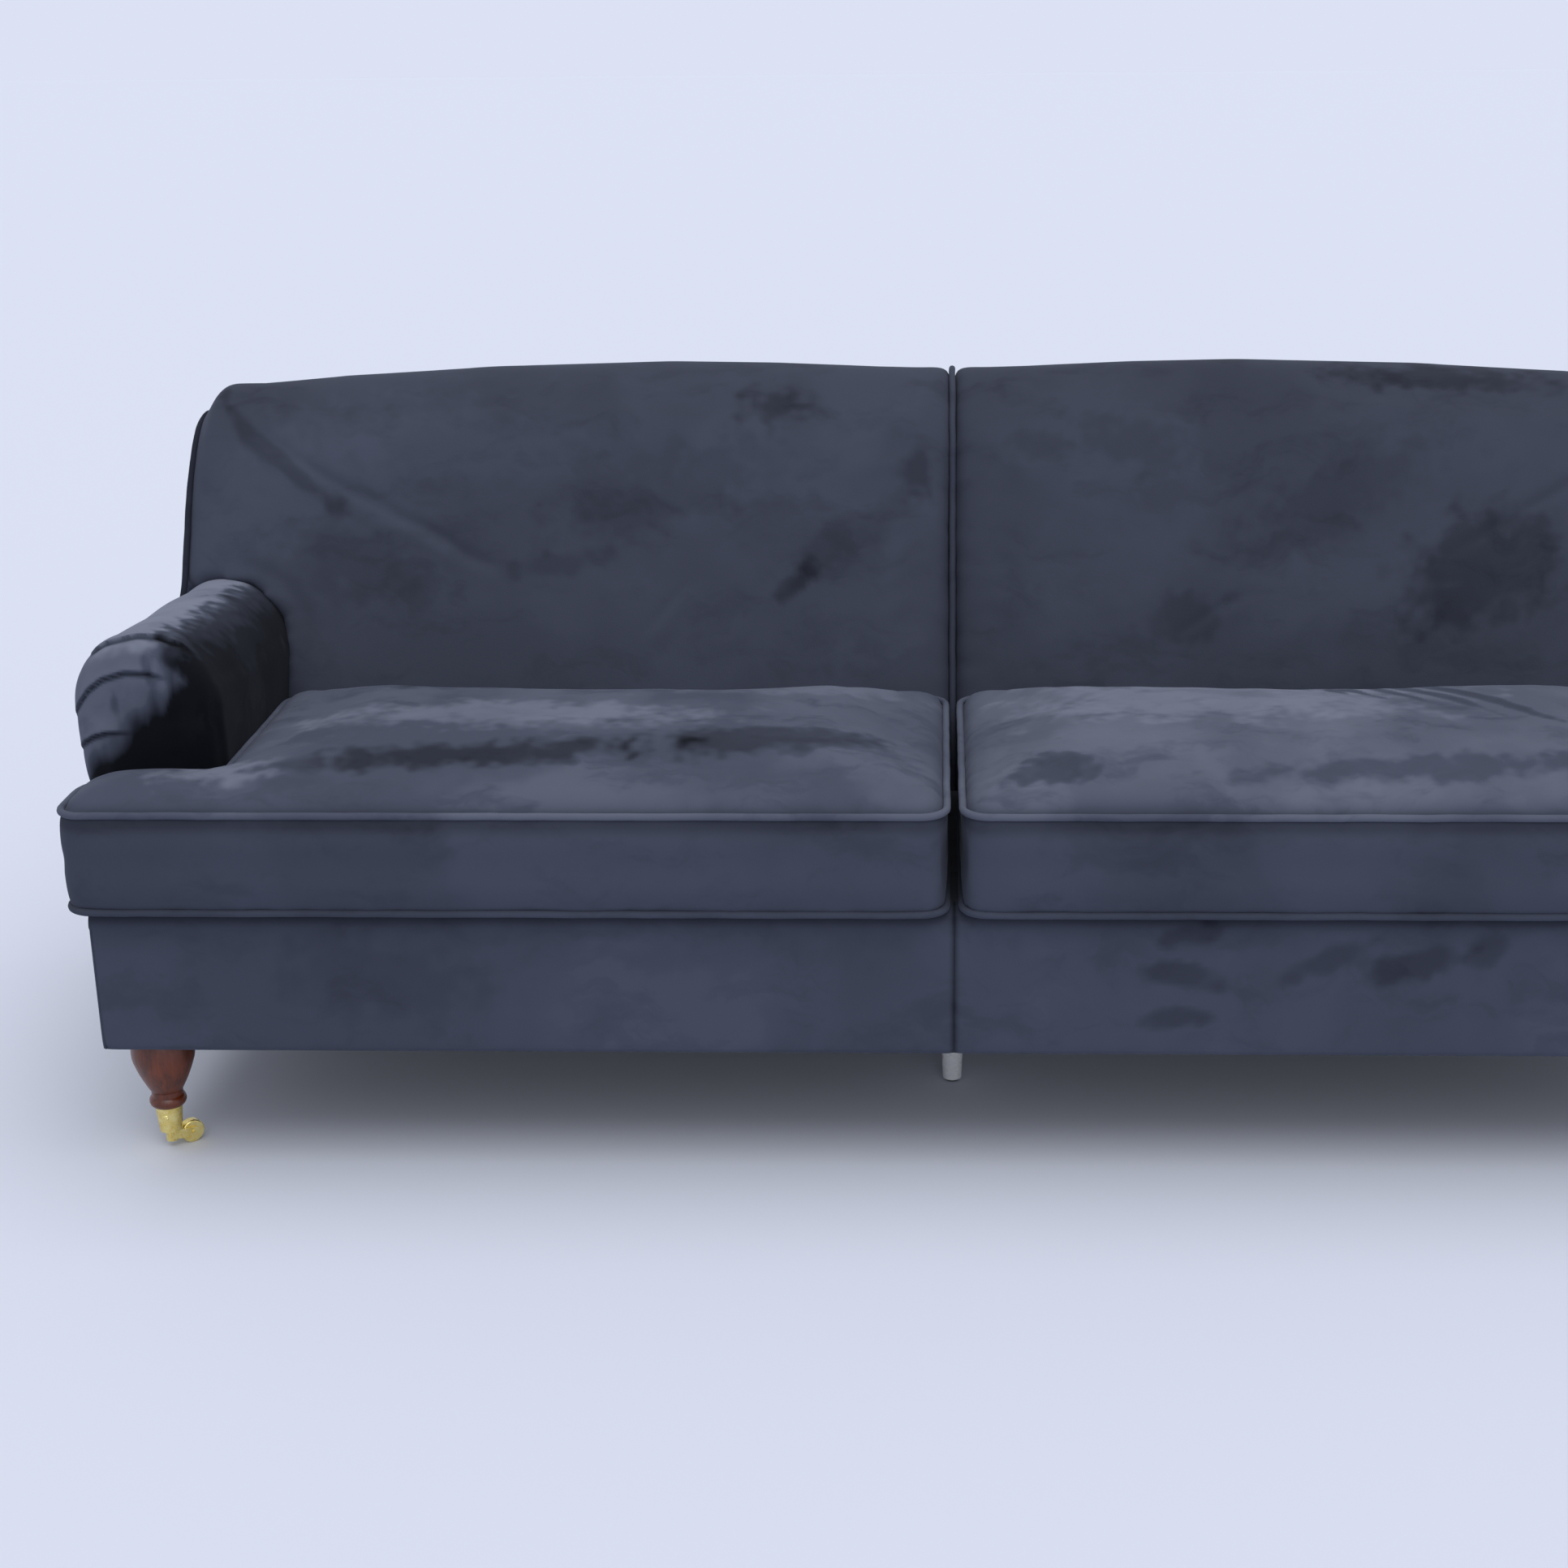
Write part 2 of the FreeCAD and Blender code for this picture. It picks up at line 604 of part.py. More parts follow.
def build_back_frame():
    near = BACK_PAD + WEBBING
    top = BACK_TOP - BACK_TOP_PAD - EASE
    post_top = top - TOP_RAIL_HEIGHT
    low = DECK + LOWER_RAIL_RISE
    outer = lean_prism(near, near + BACK_POST_DEPTH, FRAME_BOTTOM, post_top, POST_INNER, RAIL_INNER)
    centre_far = frame_depth(post_top, CENTRE_POST_REAR_GAP)
    centre = lean_prism(near + RAIL, centre_far, DECK - CENTRE_RAIL_DROP, post_top, -POST / 2, POST / 2)
    save("back_posts", outer, mirrored(outer), centre)
    lower = lean_prism(near, near + RAIL, low, low + LOWER_RAIL_HEIGHT, -POST_INNER, POST_INNER)
    save("lower_back_rail", lower)
    rail_far = frame_depth(top, TOP_RAIL_REAR_GAP)
    save("top_back_rail", lean_prism(near, rail_far, post_top, top, -RAIL_INNER, RAIL_INNER))
    spacing = POST_INNER / WEBBING_STRIPS
    strips = []
    for index in range(WEBBING_STRIPS):
        x = (index + 0.5) * spacing
        left, right = x - WEBBING_WIDTH / 2, x + WEBBING_WIDTH / 2
        strip = lean_prism(BACK_PAD, near, low, top, left, right)
        strips += [strip, mirrored(strip)]
    save("back_webbing", *strips)


# Seat springs
def spring_level():
    return RAIL_TOP + CLIP_HEIGHT / 2


def spring_ends():
    """Depths of the first and last straight run of a spring, held in its clips."""
    front = RAIL_FRONT + RAIL - CLIP_DEPTH / 2
    rear = BACK_FACE + SPRING_RAIL_SETBACK + CLIP_DEPTH / 2
    return front, rear


def zigzag_spring():
    """One zigzag wire from the front rail to the spring rail, centred on X = 0."""
    front, rear = spring_ends()
    turns = 2 * round((rear - front) / SPRING_PITCH / 2)
    pitch = (rear - front) / turns
    bend = pitch / 2
    straight = SPRING_HALF_WIDTH - bend
    z = spring_level()
    edges = []
    for index in range(turns + 1):
        y = front + index * pitch
        way = 1 if index % 2 == 0 else -1
        edges.append(Part.makeLine(vec(-way * straight, y, z), vec(way * straight, y, z)))
        if index < turns:
            start = vec(way * straight, y, z)
            tip = vec(way * SPRING_HALF_WIDTH, y + bend, z)
            end = vec(way * straight, y + pitch, z)
            edges.append(Part.Arc(start, tip, end).toShape())
    path = Part.Wire(edges)
    ring = Part.Wire(Part.makeCircle(SPRING_WIRE / 2, vec(-straight, front, z), X_AXIS))
    return path.makePipeShell([ring], True, False)


def build_springs():
    spring = zigzag_spring()
    outermost = ARM_IN - SPRING_SIDE_GAP - SPRING_HALF_WIDTH
    spacing = outermost / (SPRING_COUNT - 0.5)
    springs, clips = [], []
    for index in range(SPRING_COUNT):
        x = (index + 0.5) * spacing
        right = spring.copy()
        right.translate(vec(x, 0, 0))
        left = spring.copy()
        left.translate(vec(-x, 0, 0))
        springs += [right, left]
        for y in spring_ends():
            clip = block(x - CLIP_WIDTH / 2, x + CLIP_WIDTH / 2, y - CLIP_DEPTH / 2, y + CLIP_DEPTH / 2,
                         RAIL_TOP, RAIL_TOP + CLIP_HEIGHT)
            groove = rod(SPRING_WIRE / 2 + RUNNING_GAP, REACH, vec(-REACH / 2, y, spring_level()), X_AXIS)
            clip = clip.cut(groove)
            clips += [clip, mirrored(clip)]
    save("seat_springs", *springs)
    save("spring_clips", *clips)


# Deck, borders and outer panels
def build_deck():
    strip_rear = ARM_FRONT - EASE
    strip_front = RAIL_FRONT + RAIL - CLIP_DEPTH
    wide = HALF - LAYER
    narrow = ARM_IN - EASE
    rear = BACK_FACE - BACK_BULGE
    outline = [(-wide, strip_front), (wide, strip_front), (wide, strip_rear), (narrow, strip_rear),
               (narrow, rear), (-narrow, rear), (-narrow, strip_rear), (-wide, strip_rear)]
    felt_top = DECK - LAYER
    save("seat_felt", prism_z(outline, felt_top - SEAT_FELT, felt_top))
    save("deck_cloth", prism_z(outline, DECK - COVER, DECK))


def border_edges(inset, low, end):
    """Outline of the front border with a rolled top, as edges in the YZ plane."""
    radius = FRONT_ROLL - inset
    face = FRONT + inset
    top = DECK - inset
    start = vec(0, face, low)
    rise = vec(0, face, top - radius)
    middle = vec(0, face + radius * (1 - math.sqrt(0.5)), top - radius * (1 - math.sqrt(0.5)))
    crest = vec(0, face + radius, top)
    stop = vec(0, end, top)
    return [Part.makeLine(start, rise), Part.Arc(rise, middle, crest).toShape(), Part.makeLine(crest, stop)]


def drawn_along_x(edges, x0, x1):
    face = Part.Face(Part.Wire(edges))
    solid = face.extrude(vec(x1 - x0, 0, 0))
    return solid.translate(vec(x0, 0, 0))


def build_front_border():
    end = RAIL_FRONT + RAIL - CLIP_DEPTH - EASE
    outer = border_edges(0.0, LEG_HEIGHT, end)
    inner = border_edges(COVER, LEG_HEIGHT, end)
    ring = outer + [Part.makeLine(vec(0, end, DECK), vec(0, end, DECK - COVER))]
    ring += list(reversed(inner))
    ring.append(Part.makeLine(vec(0, FRONT + COVER, LEG_HEIGHT), vec(0, FRONT, LEG_HEIGHT)))
    save_pair("front_border", drawn_along_x(ring, SEAM_GAP / 2, HALF - LAYER))
    pad = border_edges(LAYER, FRAME_BOTTOM, end)
    inner_face = RAIL_FRONT - EASE
    pad += [Part.makeLine(vec(0, end, DECK - LAYER), vec(0, end, RAIL_TOP + EASE)),
            Part.makeLine(vec(0, end, RAIL_TOP + EASE), vec(0, inner_face, RAIL_TOP + EASE)),
            Part.makeLine(vec(0, inner_face, RAIL_TOP + EASE), vec(0, inner_face, FRAME_BOTTOM)),
            Part.makeLine(vec(0, inner_face, FRAME_BOTTOM), vec(0, FRONT + LAYER, FRAME_BOTTOM))]
    save("front_pad", drawn_along_x(pad, -RAIL_SIDE, RAIL_SIDE))


def is_nose(box):
    """Whether an edge is the one at the top of the base's front."""
    return box.YMax < FRONT + EASE and box.ZMin > DECK - EASE


def build_side_panel():
    """Outside arm: upright over the base and sloping out to tuck under the arm's roll."""
    tuck_x = ARM_OUT - ROLL_TUCK + EASE
    tuck_z = ARM_TUCK - EASE
    base = block(HALF - COVER, HALF, FRONT, REACH, LEG_HEIGHT, DECK)
    nose = [edge for edge in base.Edges if is_nose(edge.BoundBox)]
    base = base.makeFillet(FRONT_ROLL, nose)
    slope = prism_y([(HALF - COVER, DECK), (HALF, DECK), (tuck_x + COVER, tuck_z), (tuck_x, tuck_z)],
                    ARM_FRONT + ARM_FACE_PAD, REACH)
    panel = base.fuse(slope).cut(behind_rear(LAYER)).removeSplitter()
    save_pair("outside_arm", panel)


def build_outside_back():
    """One half of the rear cover, following the side, the roll and the crest line."""
    spring = ARM_TOP - ARM_CROWN - ARM_FALL
    outline = [(SEAM_GAP / 2, LEG_HEIGHT), (HALF, LEG_HEIGHT), (HALF, DECK),
               (ARM_OUT - ROLL_TUCK + LAYER, ARM_TUCK), (ARM_OUT, spring)]
    shoulder = BACK_TOP - REAR_SHOULDER
    crest = [(x, shoulder - drop) for x, _, drop in reversed(panel_stations()) if shoulder - drop > spring]
    crest[-1] = (SEAM_GAP / 2, crest[-1][1])
    points = [vec(x, rear_line(z, COVER), z) for x, z in outline + crest]
    face = Part.Face(Part.makePolygon(points + [points[0]]))
    normal = vec(0, 1, -REAR_SLOPE).normalize()
    save_pair("outside_back", face.extrude(normal * COVER))


def build_dust_cover():
    side = HALF - LAYER
    sheet = block(-side, side, FRONT + LAYER, REAR - LAYER, LEG_HEIGHT, FRAME_BOTTOM)
    for x, y in leg_places():
        for way in (-1, 1):
            sheet = sheet.cut(rod(BOLT_RADIUS + RUNNING_GAP, REACH, vec(way * x, y, 0)))
    for x, y in plate_screw_places():
        sheet = sheet.cut(rod(PLATE_SCREW_RADIUS, REACH, vec(x, y, 0)))
    save("dust_cover", sheet)


# Legs
def build_front_leg():
    (x, y), _ = leg_places()
    spigot_top = CUP_TOP_RADIUS - CUP_WALL - RUNNING_GAP
    spigot_low = CUP_BOTTOM_RADIUS - CUP_WALL - RUNNING_GAP
    bead_low = CUP_TOP + EASE
    bead_high = bead_low + LEG_BEAD_HEIGHT
    spigot_end = CUP_BOTTOM + CUP_FLOOR + PIN_HEAD_HEIGHT + SPIGOT_GAP
    upper = vec((LEG_TOP_RADIUS + LEG_SHOULDER_RADIUS) / 2, 0, (LEG_HEIGHT + LEG_SHOULDER_HEIGHT) / 2)
    edges = [
        Part.makeLine(vec(0, 0, LEG_HEIGHT), vec(LEG_TOP_RADIUS, 0, LEG_HEIGHT)),
        Part.Arc(vec(LEG_TOP_RADIUS, 0, LEG_HEIGHT),
                 vec(upper.x + LEG_SWELL, 0, upper.z + LEG_SWELL),
                 vec(LEG_SHOULDER_RADIUS, 0, LEG_SHOULDER_HEIGHT)).toShape(),
        Part.Arc(vec(LEG_SHOULDER_RADIUS, 0, LEG_SHOULDER_HEIGHT), vec(LEG_WAIST_RADIUS, 0, LEG_WAIST_HEIGHT),
                 vec(LEG_NECK_RADIUS, 0, LEG_NECK_HEIGHT)).toShape(),
        Part.makeLine(vec(LEG_NECK_RADIUS, 0, LEG_NECK_HEIGHT), vec(LEG_NECK_RADIUS, 0, bead_high)),
        Part.Arc(vec(LEG_NECK_RADIUS, 0, bead_high), vec(LEG_BEAD_RADIUS, 0, (bead_high + bead_low) / 2),
                 vec(LEG_NECK_RADIUS, 0, bead_low)).toShape(),
        Part.makeLine(vec(LEG_NECK_RADIUS, 0, bead_low), vec(spigot_top, 0, bead_low)),
        Part.makeLine(vec(spigot_top, 0, bead_low), vec(spigot_top, 0, CUP_TOP)),
        Part.makeLine(vec(spigot_top, 0, CUP_TOP), vec(spigot_low, 0, spigot_end)),
        Part.makeLine(vec(spigot_low, 0, spigot_end), vec(0, 0, spigot_end)),
        Part.makeLine(vec(0, 0, spigot_end), vec(0, 0, LEG_HEIGHT)),
    ]
    leg = Part.Face(Part.Wire(edges)).revolve(ORIGIN, Z_AXIS, 360)
    leg = leg.cut(rod(BOLT_RADIUS + RUNNING_GAP, BOLT_IN_LEG, vec(0, 0, LEG_HEIGHT - BOLT_IN_LEG)))
    leg = leg.cut(cup_screw(RUNNING_GAP))
    save_pair("front_leg", leg.translate(vec(x, y, 0)))


def cup_screw(grow):
    """The screw through the front of the cup into the leg."""
    z = (CUP_TOP + CUP_BOTTOM) / 2 + CUP_FLOOR
    return rod(CUP_SCREW / 2 + grow, CUP_TOP_RADIUS + grow, vec(0, -CUP_TOP_RADIUS - grow, z), Y_AXIS)


def build_caster():
    (x, y), _ = leg_places()
    place = vec(x, y, 0)
    floor = CUP_BOTTOM + CUP_FLOOR
    low_in = CUP_BOTTOM_RADIUS - CUP_WALL
    top_in = CUP_TOP_RADIUS - CUP_WALL
    bore = SWIVEL_PIN_RADIUS + RUNNING_GAP
    cup = turned([(bore, CUP_BOTTOM), (CUP_BOTTOM_RADIUS, CUP_BOTTOM), (CUP_TOP_RADIUS, CUP_TOP),
                  (top_in, CUP_TOP), (low_in, floor + PIN_HEAD_HEIGHT), (low_in, floor), (bore, floor)])
    screw = cup_screw(0.0)
    cup = cup.cut(cup_screw(RUNNING_GAP))
    save_pair("caster_cup", cup.translate(place))
    screw.translate(place)
    save("cup_screws", screw, mirrored(screw))
    turn = 180.0 - TRAIL_ANGLE
    pieces = {"caster_horn": caster_horn(), "caster_axle": caster_axle(), "caster_wheel": caster_wheel()}
    for name, shape in pieces.items():
        shape.rotate(ORIGIN, Z_AXIS, turn)
        save_pair(name, shape.translate(place))


def caster_horn():
    """Swivel pin, boss and fork with the wheel trailing along +X."""
    boss_top = CUP_BOTTOM - SIDE_GAP
    head = CUP_BOTTOM + CUP_FLOOR + RUNNING_GAP
    boss = rod(BOSS_RADIUS, boss_top - BOSS_LOW, vec(0, 0, BOSS_LOW))
    pin = rod(SWIVEL_PIN_RADIUS, head - BOSS_LOW, vec(0, 0, BOSS_LOW))
    cap = rod(PIN_HEAD_RADIUS, PIN_HEAD_HEIGHT, vec(0, 0, head))
    inner = WHEEL_WIDTH / 2 + SIDE_GAP
    outer = inner + CHEEK
    crown = block(-BOSS_RADIUS / 2, TRAIL - WHEEL_RADIUS - CROWN_GAP, -outer, outer,
                  boss_top - BOSS_RADIUS - CHEEK, boss_top)
    horn = boss.fuse([pin, cap, crown])
    for side in (-outer, inner):
        plate = prism_cheek(boss_top, side)
        horn = horn.fuse(plate)
    hole = rod(AXLE_RADIUS + RUNNING_GAP, REACH, vec(TRAIL, -REACH / 2, WHEEL_RADIUS), Y_AXIS)
    return horn.cut(hole).removeSplitter()


def prism_cheek(boss_top, side):
    """One side plate of the fork, from the crown to a round end at the axle."""
    arm = [(-BOSS_RADIUS / 2, boss_top - BOSS_RADIUS - CHEEK), (TRAIL, WHEEL_RADIUS - CHEEK_RADIUS),
           (TRAIL, WHEEL_RADIUS + CHEEK_RADIUS), (-BOSS_RADIUS / 2, boss_top)]
    web = prism_y(arm, side, side + CHEEK)
    end = rod(CHEEK_RADIUS, CHEEK, vec(TRAIL, side, WHEEL_RADIUS), Y_AXIS)
    return web.fuse(end)


def caster_axle():
    """Riveted axle through both cheeks."""
    outer = WHEEL_WIDTH / 2 + SIDE_GAP + CHEEK
    shaft = rod(AXLE_RADIUS, 2 * outer, vec(TRAIL, -outer, WHEEL_RADIUS), Y_AXIS)
    near = rod(RIVET_RADIUS, RIVET_HEIGHT, vec(TRAIL, -outer - RIVET_HEIGHT, WHEEL_RADIUS), Y_AXIS)
    far = rod(RIVET_RADIUS, RIVET_HEIGHT, vec(TRAIL, outer, WHEEL_RADIUS), Y_AXIS)
    return shaft.fuse([near, far])


def caster_wheel():
    wheel = rod(WHEEL_RADIUS, WHEEL_WIDTH, vec(TRAIL, -WHEEL_WIDTH / 2, WHEEL_RADIUS), Y_AXIS)
    rims = [edge for edge in wheel.Edges if len(edge.Vertexes) == 1]
    wheel = wheel.makeFillet(WHEEL_EDGE, rims)
    bore = rod(AXLE_RADIUS + RUNNING_GAP, REACH, vec(TRAIL, -REACH / 2, WHEEL_RADIUS), Y_AXIS)
    return wheel.cut(bore)


def build_rear_leg():
    _, (x, y) = leg_places()
    foot = vec(x + REAR_SPLAY_OUT, y + REAR_SPLAY_BACK, GLIDE_HEIGHT)
    ends = [square(vec(x, y, LEG_HEIGHT), REAR_LEG_TOP), square(foot, REAR_LEG_FOOT)]
    leg = Part.makeLoft(ends, True, True)
    leg = leg.cut(rod(BOLT_RADIUS + RUNNING_GAP, BOLT_IN_LEG, vec(x, y, LEG_HEIGHT - BOLT_IN_LEG)))
    save_pair("rear_leg", leg)
    glide = rod(GLIDE_RADIUS, GLIDE_HEIGHT, vec(foot.x, foot.y, 0))
    save("rear_glides", glide, mirrored(glide))


def square(centre, size):
    half = size / 2
    points = [centre + vec(dx * half, dy * half, 0) for dx, dy in ((-1, -1), (1, -1), (1, 1), (-1, 1))]
    return Part.makePolygon(points + [points[0]])


def plate_screw_places():
    """Screws of the support leg's plate, into the centre rail."""
    y = FRONT + SUPPORT_SETBACK
    half_x, half_y = PLATE_SCREW_SPAN_X / 2, PLATE_SCREW_SPAN_Y / 2
    return [(dx * half_x, y + dy * half_y) for dx in (-1, 1) for dy in (-1, 1)]


def build_support_leg():
    y = FRONT + SUPPORT_SETBACK
    plate_low = LEG_HEIGHT - SUPPORT_PLATE_THICK
    half_x, half_y = SUPPORT_PLATE_WIDTH / 2, SUPPORT_PLATE / 2
    plate = block(-half_x, half_x, y - half_y, y + half_y, plate_low, LEG_HEIGHT)
    screws = []
    for x, screw_y in plate_screw_places():
        plate = plate.cut(rod(PLATE_SCREW_RADIUS, REACH, vec(x, screw_y, 0)))
        shank = rod(PLATE_SCREW_RADIUS, PLATE_SCREW_LENGTH, vec(x, screw_y, plate_low))
        head_low = vec(x, screw_y, plate_low - PLATE_SCREW_HEAD_HEIGHT)
        head = rod(PLATE_SCREW_HEAD, PLATE_SCREW_HEAD_HEIGHT, head_low)
        screws.append(shank.fuse(head))
    tube_height = plate_low - SUPPORT_GLIDE
    tube = Part.makeCone(SUPPORT_FOOT_RADIUS, SUPPORT_TOP_RADIUS, tube_height, vec(0, y, SUPPORT_GLIDE))
    save("support_leg", tube.fuse(plate))
    save("support_screws", *screws)
    save("support_glide", rod(SUPPORT_GLIDE_RADIUS, SUPPORT_GLIDE, vec(0, y, 0)))


def main():
    os.makedirs("parts", exist_ok=True)
    build_seat_frame()
    build_leg_fasteners()
    build_arm_frame()
    build_back_frame()
    build_springs()
    build_deck()
    build_front_border()
    build_side_panel()
    build_outside_back()
    build_dust_cover()
    build_arm()
    build_back()
    build_cushions()
    build_front_leg()
    build_caster()
    build_rear_leg()
    build_support_leg()


main()
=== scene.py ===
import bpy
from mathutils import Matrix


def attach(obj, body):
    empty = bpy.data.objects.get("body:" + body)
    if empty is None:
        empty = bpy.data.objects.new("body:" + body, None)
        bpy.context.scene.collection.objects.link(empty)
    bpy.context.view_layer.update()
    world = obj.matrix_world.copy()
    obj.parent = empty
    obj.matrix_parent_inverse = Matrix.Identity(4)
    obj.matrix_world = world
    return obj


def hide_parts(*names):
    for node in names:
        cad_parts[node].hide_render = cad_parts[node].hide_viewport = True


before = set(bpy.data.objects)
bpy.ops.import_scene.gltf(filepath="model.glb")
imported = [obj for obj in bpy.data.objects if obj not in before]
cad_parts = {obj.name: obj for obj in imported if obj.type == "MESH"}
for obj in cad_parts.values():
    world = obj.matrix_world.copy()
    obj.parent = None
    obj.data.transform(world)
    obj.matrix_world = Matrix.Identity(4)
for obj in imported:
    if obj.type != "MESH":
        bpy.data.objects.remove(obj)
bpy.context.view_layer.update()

import logging
import math
from dataclasses import dataclass
from enum import Enum
from typing import Callable, Mapping, Sequence

import bmesh
import bpy
import numpy as np
from mathutils import Euler, Vector, noise

LOG = logging.getLogger("sofa")
Points = np.ndarray
Tree, Socket, Node = bpy.types.NodeTree, bpy.types.NodeSocket, bpy.types.Node
Mesh, Thing, Material = bpy.types.Mesh, bpy.types.Object, bpy.types.Material
MM = 0.001


class Side(Enum):
    """Which end of the sofa a piece belongs to, seen from the front."""

    LEFT = -1
    RIGHT = 1

    @property
    def label(self) -> str:
        """Start of the piece's name."""
        return self.name.lower()


class Plane(Enum):
    """The two axes in which marks on a surface are laid out."""

    UPRIGHT = (0, 2)
    FLAT = (0, 1)


def linear(hex_colour: str) -> tuple[float, float, float, float]:
    """Turn an sRGB hex colour into linear RGBA.

    Args:
        hex_colour: Colour such as "#40465a".

    Returns:
        Red, green, blue and alpha for a shader socket.
    """
    parts = [int(hex_colour[i:i + 2], 16) / 255 for i in (1, 3, 5)]
    values = [p / 12.92 if p <= 0.04045 else ((p + 0.055) / 1.055) ** 2.4 for p in parts]
    return (*values, 1.0)


def add_node(tree: Tree, kind: str, feeds: Mapping | None = None, **settings) -> Node:
    """Add a node with its settings and links.

    Args:
        tree: Tree that takes the node.
        kind: Blender's type name of the node.
        feeds: Input name or index to a constant or to the output socket that feeds it.
        **settings: Properties of the node itself.

    Returns:
        The new node.
    """
    node = tree.nodes.new(kind)
    for name, value in settings.items():
        setattr(node, name, value)
    for key, value in (feeds or {}).items():
        if isinstance(value, Socket):
            tree.links.new(value, node.inputs[key])
        else:
            node.inputs[key].default_value = value
    return node


def speckle(tree: Tree, place: Socket, size: float, detail: float,
            **more: float) -> Socket:
    """Add smooth noise.

    Args:
        tree: Tree that takes the noise.
        place: Coordinates that it reads.
        size: Width of one swell, in metres.
        detail: Number of finer layers.
        **more: Other inputs of the noise, such as Roughness.

    Returns:
        The noise's value.
    """
    feeds = {"Vector": place, "Scale": 1 / size, "Detail": detail, **more}
    return add_node(tree, "ShaderNodeTexNoise", feeds).outputs[0]


def drift(tree: Tree, feeds: Mapping, reach: Socket | float) -> Socket:
    """Add a random sideways shift.

    Args:
        tree: Tree that takes it.
        feeds: Inputs of its noise.
        reach: Full width of the shift.

    Returns:
        The shift as a vector.
    """
    stir = add_node(tree, "ShaderNodeTexNoise", feeds)
    centred = add_node(tree, "ShaderNodeVectorMath", {0: stir.outputs["Color"], 1: (0.5, 0.5, 0.5)},
                       operation="SUBTRACT")
    feeds = {0: centred.outputs[0], "Scale": reach}
    return add_node(tree, "ShaderNodeVectorMath", feeds, operation="SCALE").outputs[0]


def weighed(tree: Tree, value: Socket, weight: float,
            base: Socket) -> Socket:
    """Add a weighed value to a base value."""
    feeds = {0: value, 1: weight, 2: base}
    return add_node(tree, "ShaderNodeMath", feeds, operation="MULTIPLY_ADD").outputs[0]


@dataclass(frozen=True)
class Finish:
    """A surface finish that makes one shared material."""

    name: str

    def material(self) -> Material:
        """Give the finish's material, made on first use."""
        found = bpy.data.materials.get(self.name)
        if found:
            return found
        made = bpy.data.materials.new(self.name)
        made.use_nodes = True
        tree = made.node_tree
        tree.nodes.clear()
        shader = add_node(tree, "ShaderNodeBsdfPrincipled")
        add_node(tree, "ShaderNodeOutputMaterial", {"Surface": shader.outputs["BSDF"]})
        self.dress(tree, shader)
        return made

    def dress(self, tree: Tree, shader: Node) -> None:
        """Feed the shader; each kind of finish has its own way.

        Args:
            tree: The material's tree.
            shader: Its Principled node.
        """
        raise NotImplementedError

    @staticmethod
    def ramp(tree: Tree, shader: Node, value: Socket,
             colours: tuple[str, str], ends: tuple[float, float] = (0.0, 1.0)) -> bpy.types.ColorRamp:
        """Colour the shader by a value.

        Args:
            tree: The material's tree.
            shader: Its Principled node.
            value: What picks the colour.
            colours: Colours of the low and the high end.
            ends: Values at those ends.

        Returns:
            The colour ramp.
        """
        node = add_node(tree, "ShaderNodeValToRGB", {"Fac": value})
        for element, spot, colour in zip(node.color_ramp.elements, ends, colours):
            element.position = spot
            element.color = linear(colour)
        tree.links.new(node.outputs["Color"], shader.inputs["Base Color"])
        return node.color_ramp

    @staticmethod
    def emboss(tree: Tree, shader: Node, height: Socket, strength: float,
               depth: float, over: Mapping | None = None) -> None:
        """Bump the shader's surface.

        Args:
            tree: The material's tree.
            shader: Its Principled node.
            height: What raises the surface.
            strength: Share of the bump.
            depth: Its height, in metres.
            over: The bump below this one, as the node's Normal input.
        """
        feeds = {"Height": height, "Strength": strength, "Distance": depth, **(over or {})}
        bump = add_node(tree, "ShaderNodeBump", feeds)
        tree.links.new(bump.outputs[0], shader.inputs["Normal"])

    @staticmethod
    def place(tree: Tree) -> Socket:
        """Give the piece's own coordinates."""
        return add_node(tree, "ShaderNodeTexCoord").outputs["Object"]

    @staticmethod
    def settle(shader: Node, values: Mapping) -> None:
        """Write constants to the shader's inputs by name."""
        for name, value in values.items():
            shader.inputs[name].default_value = value


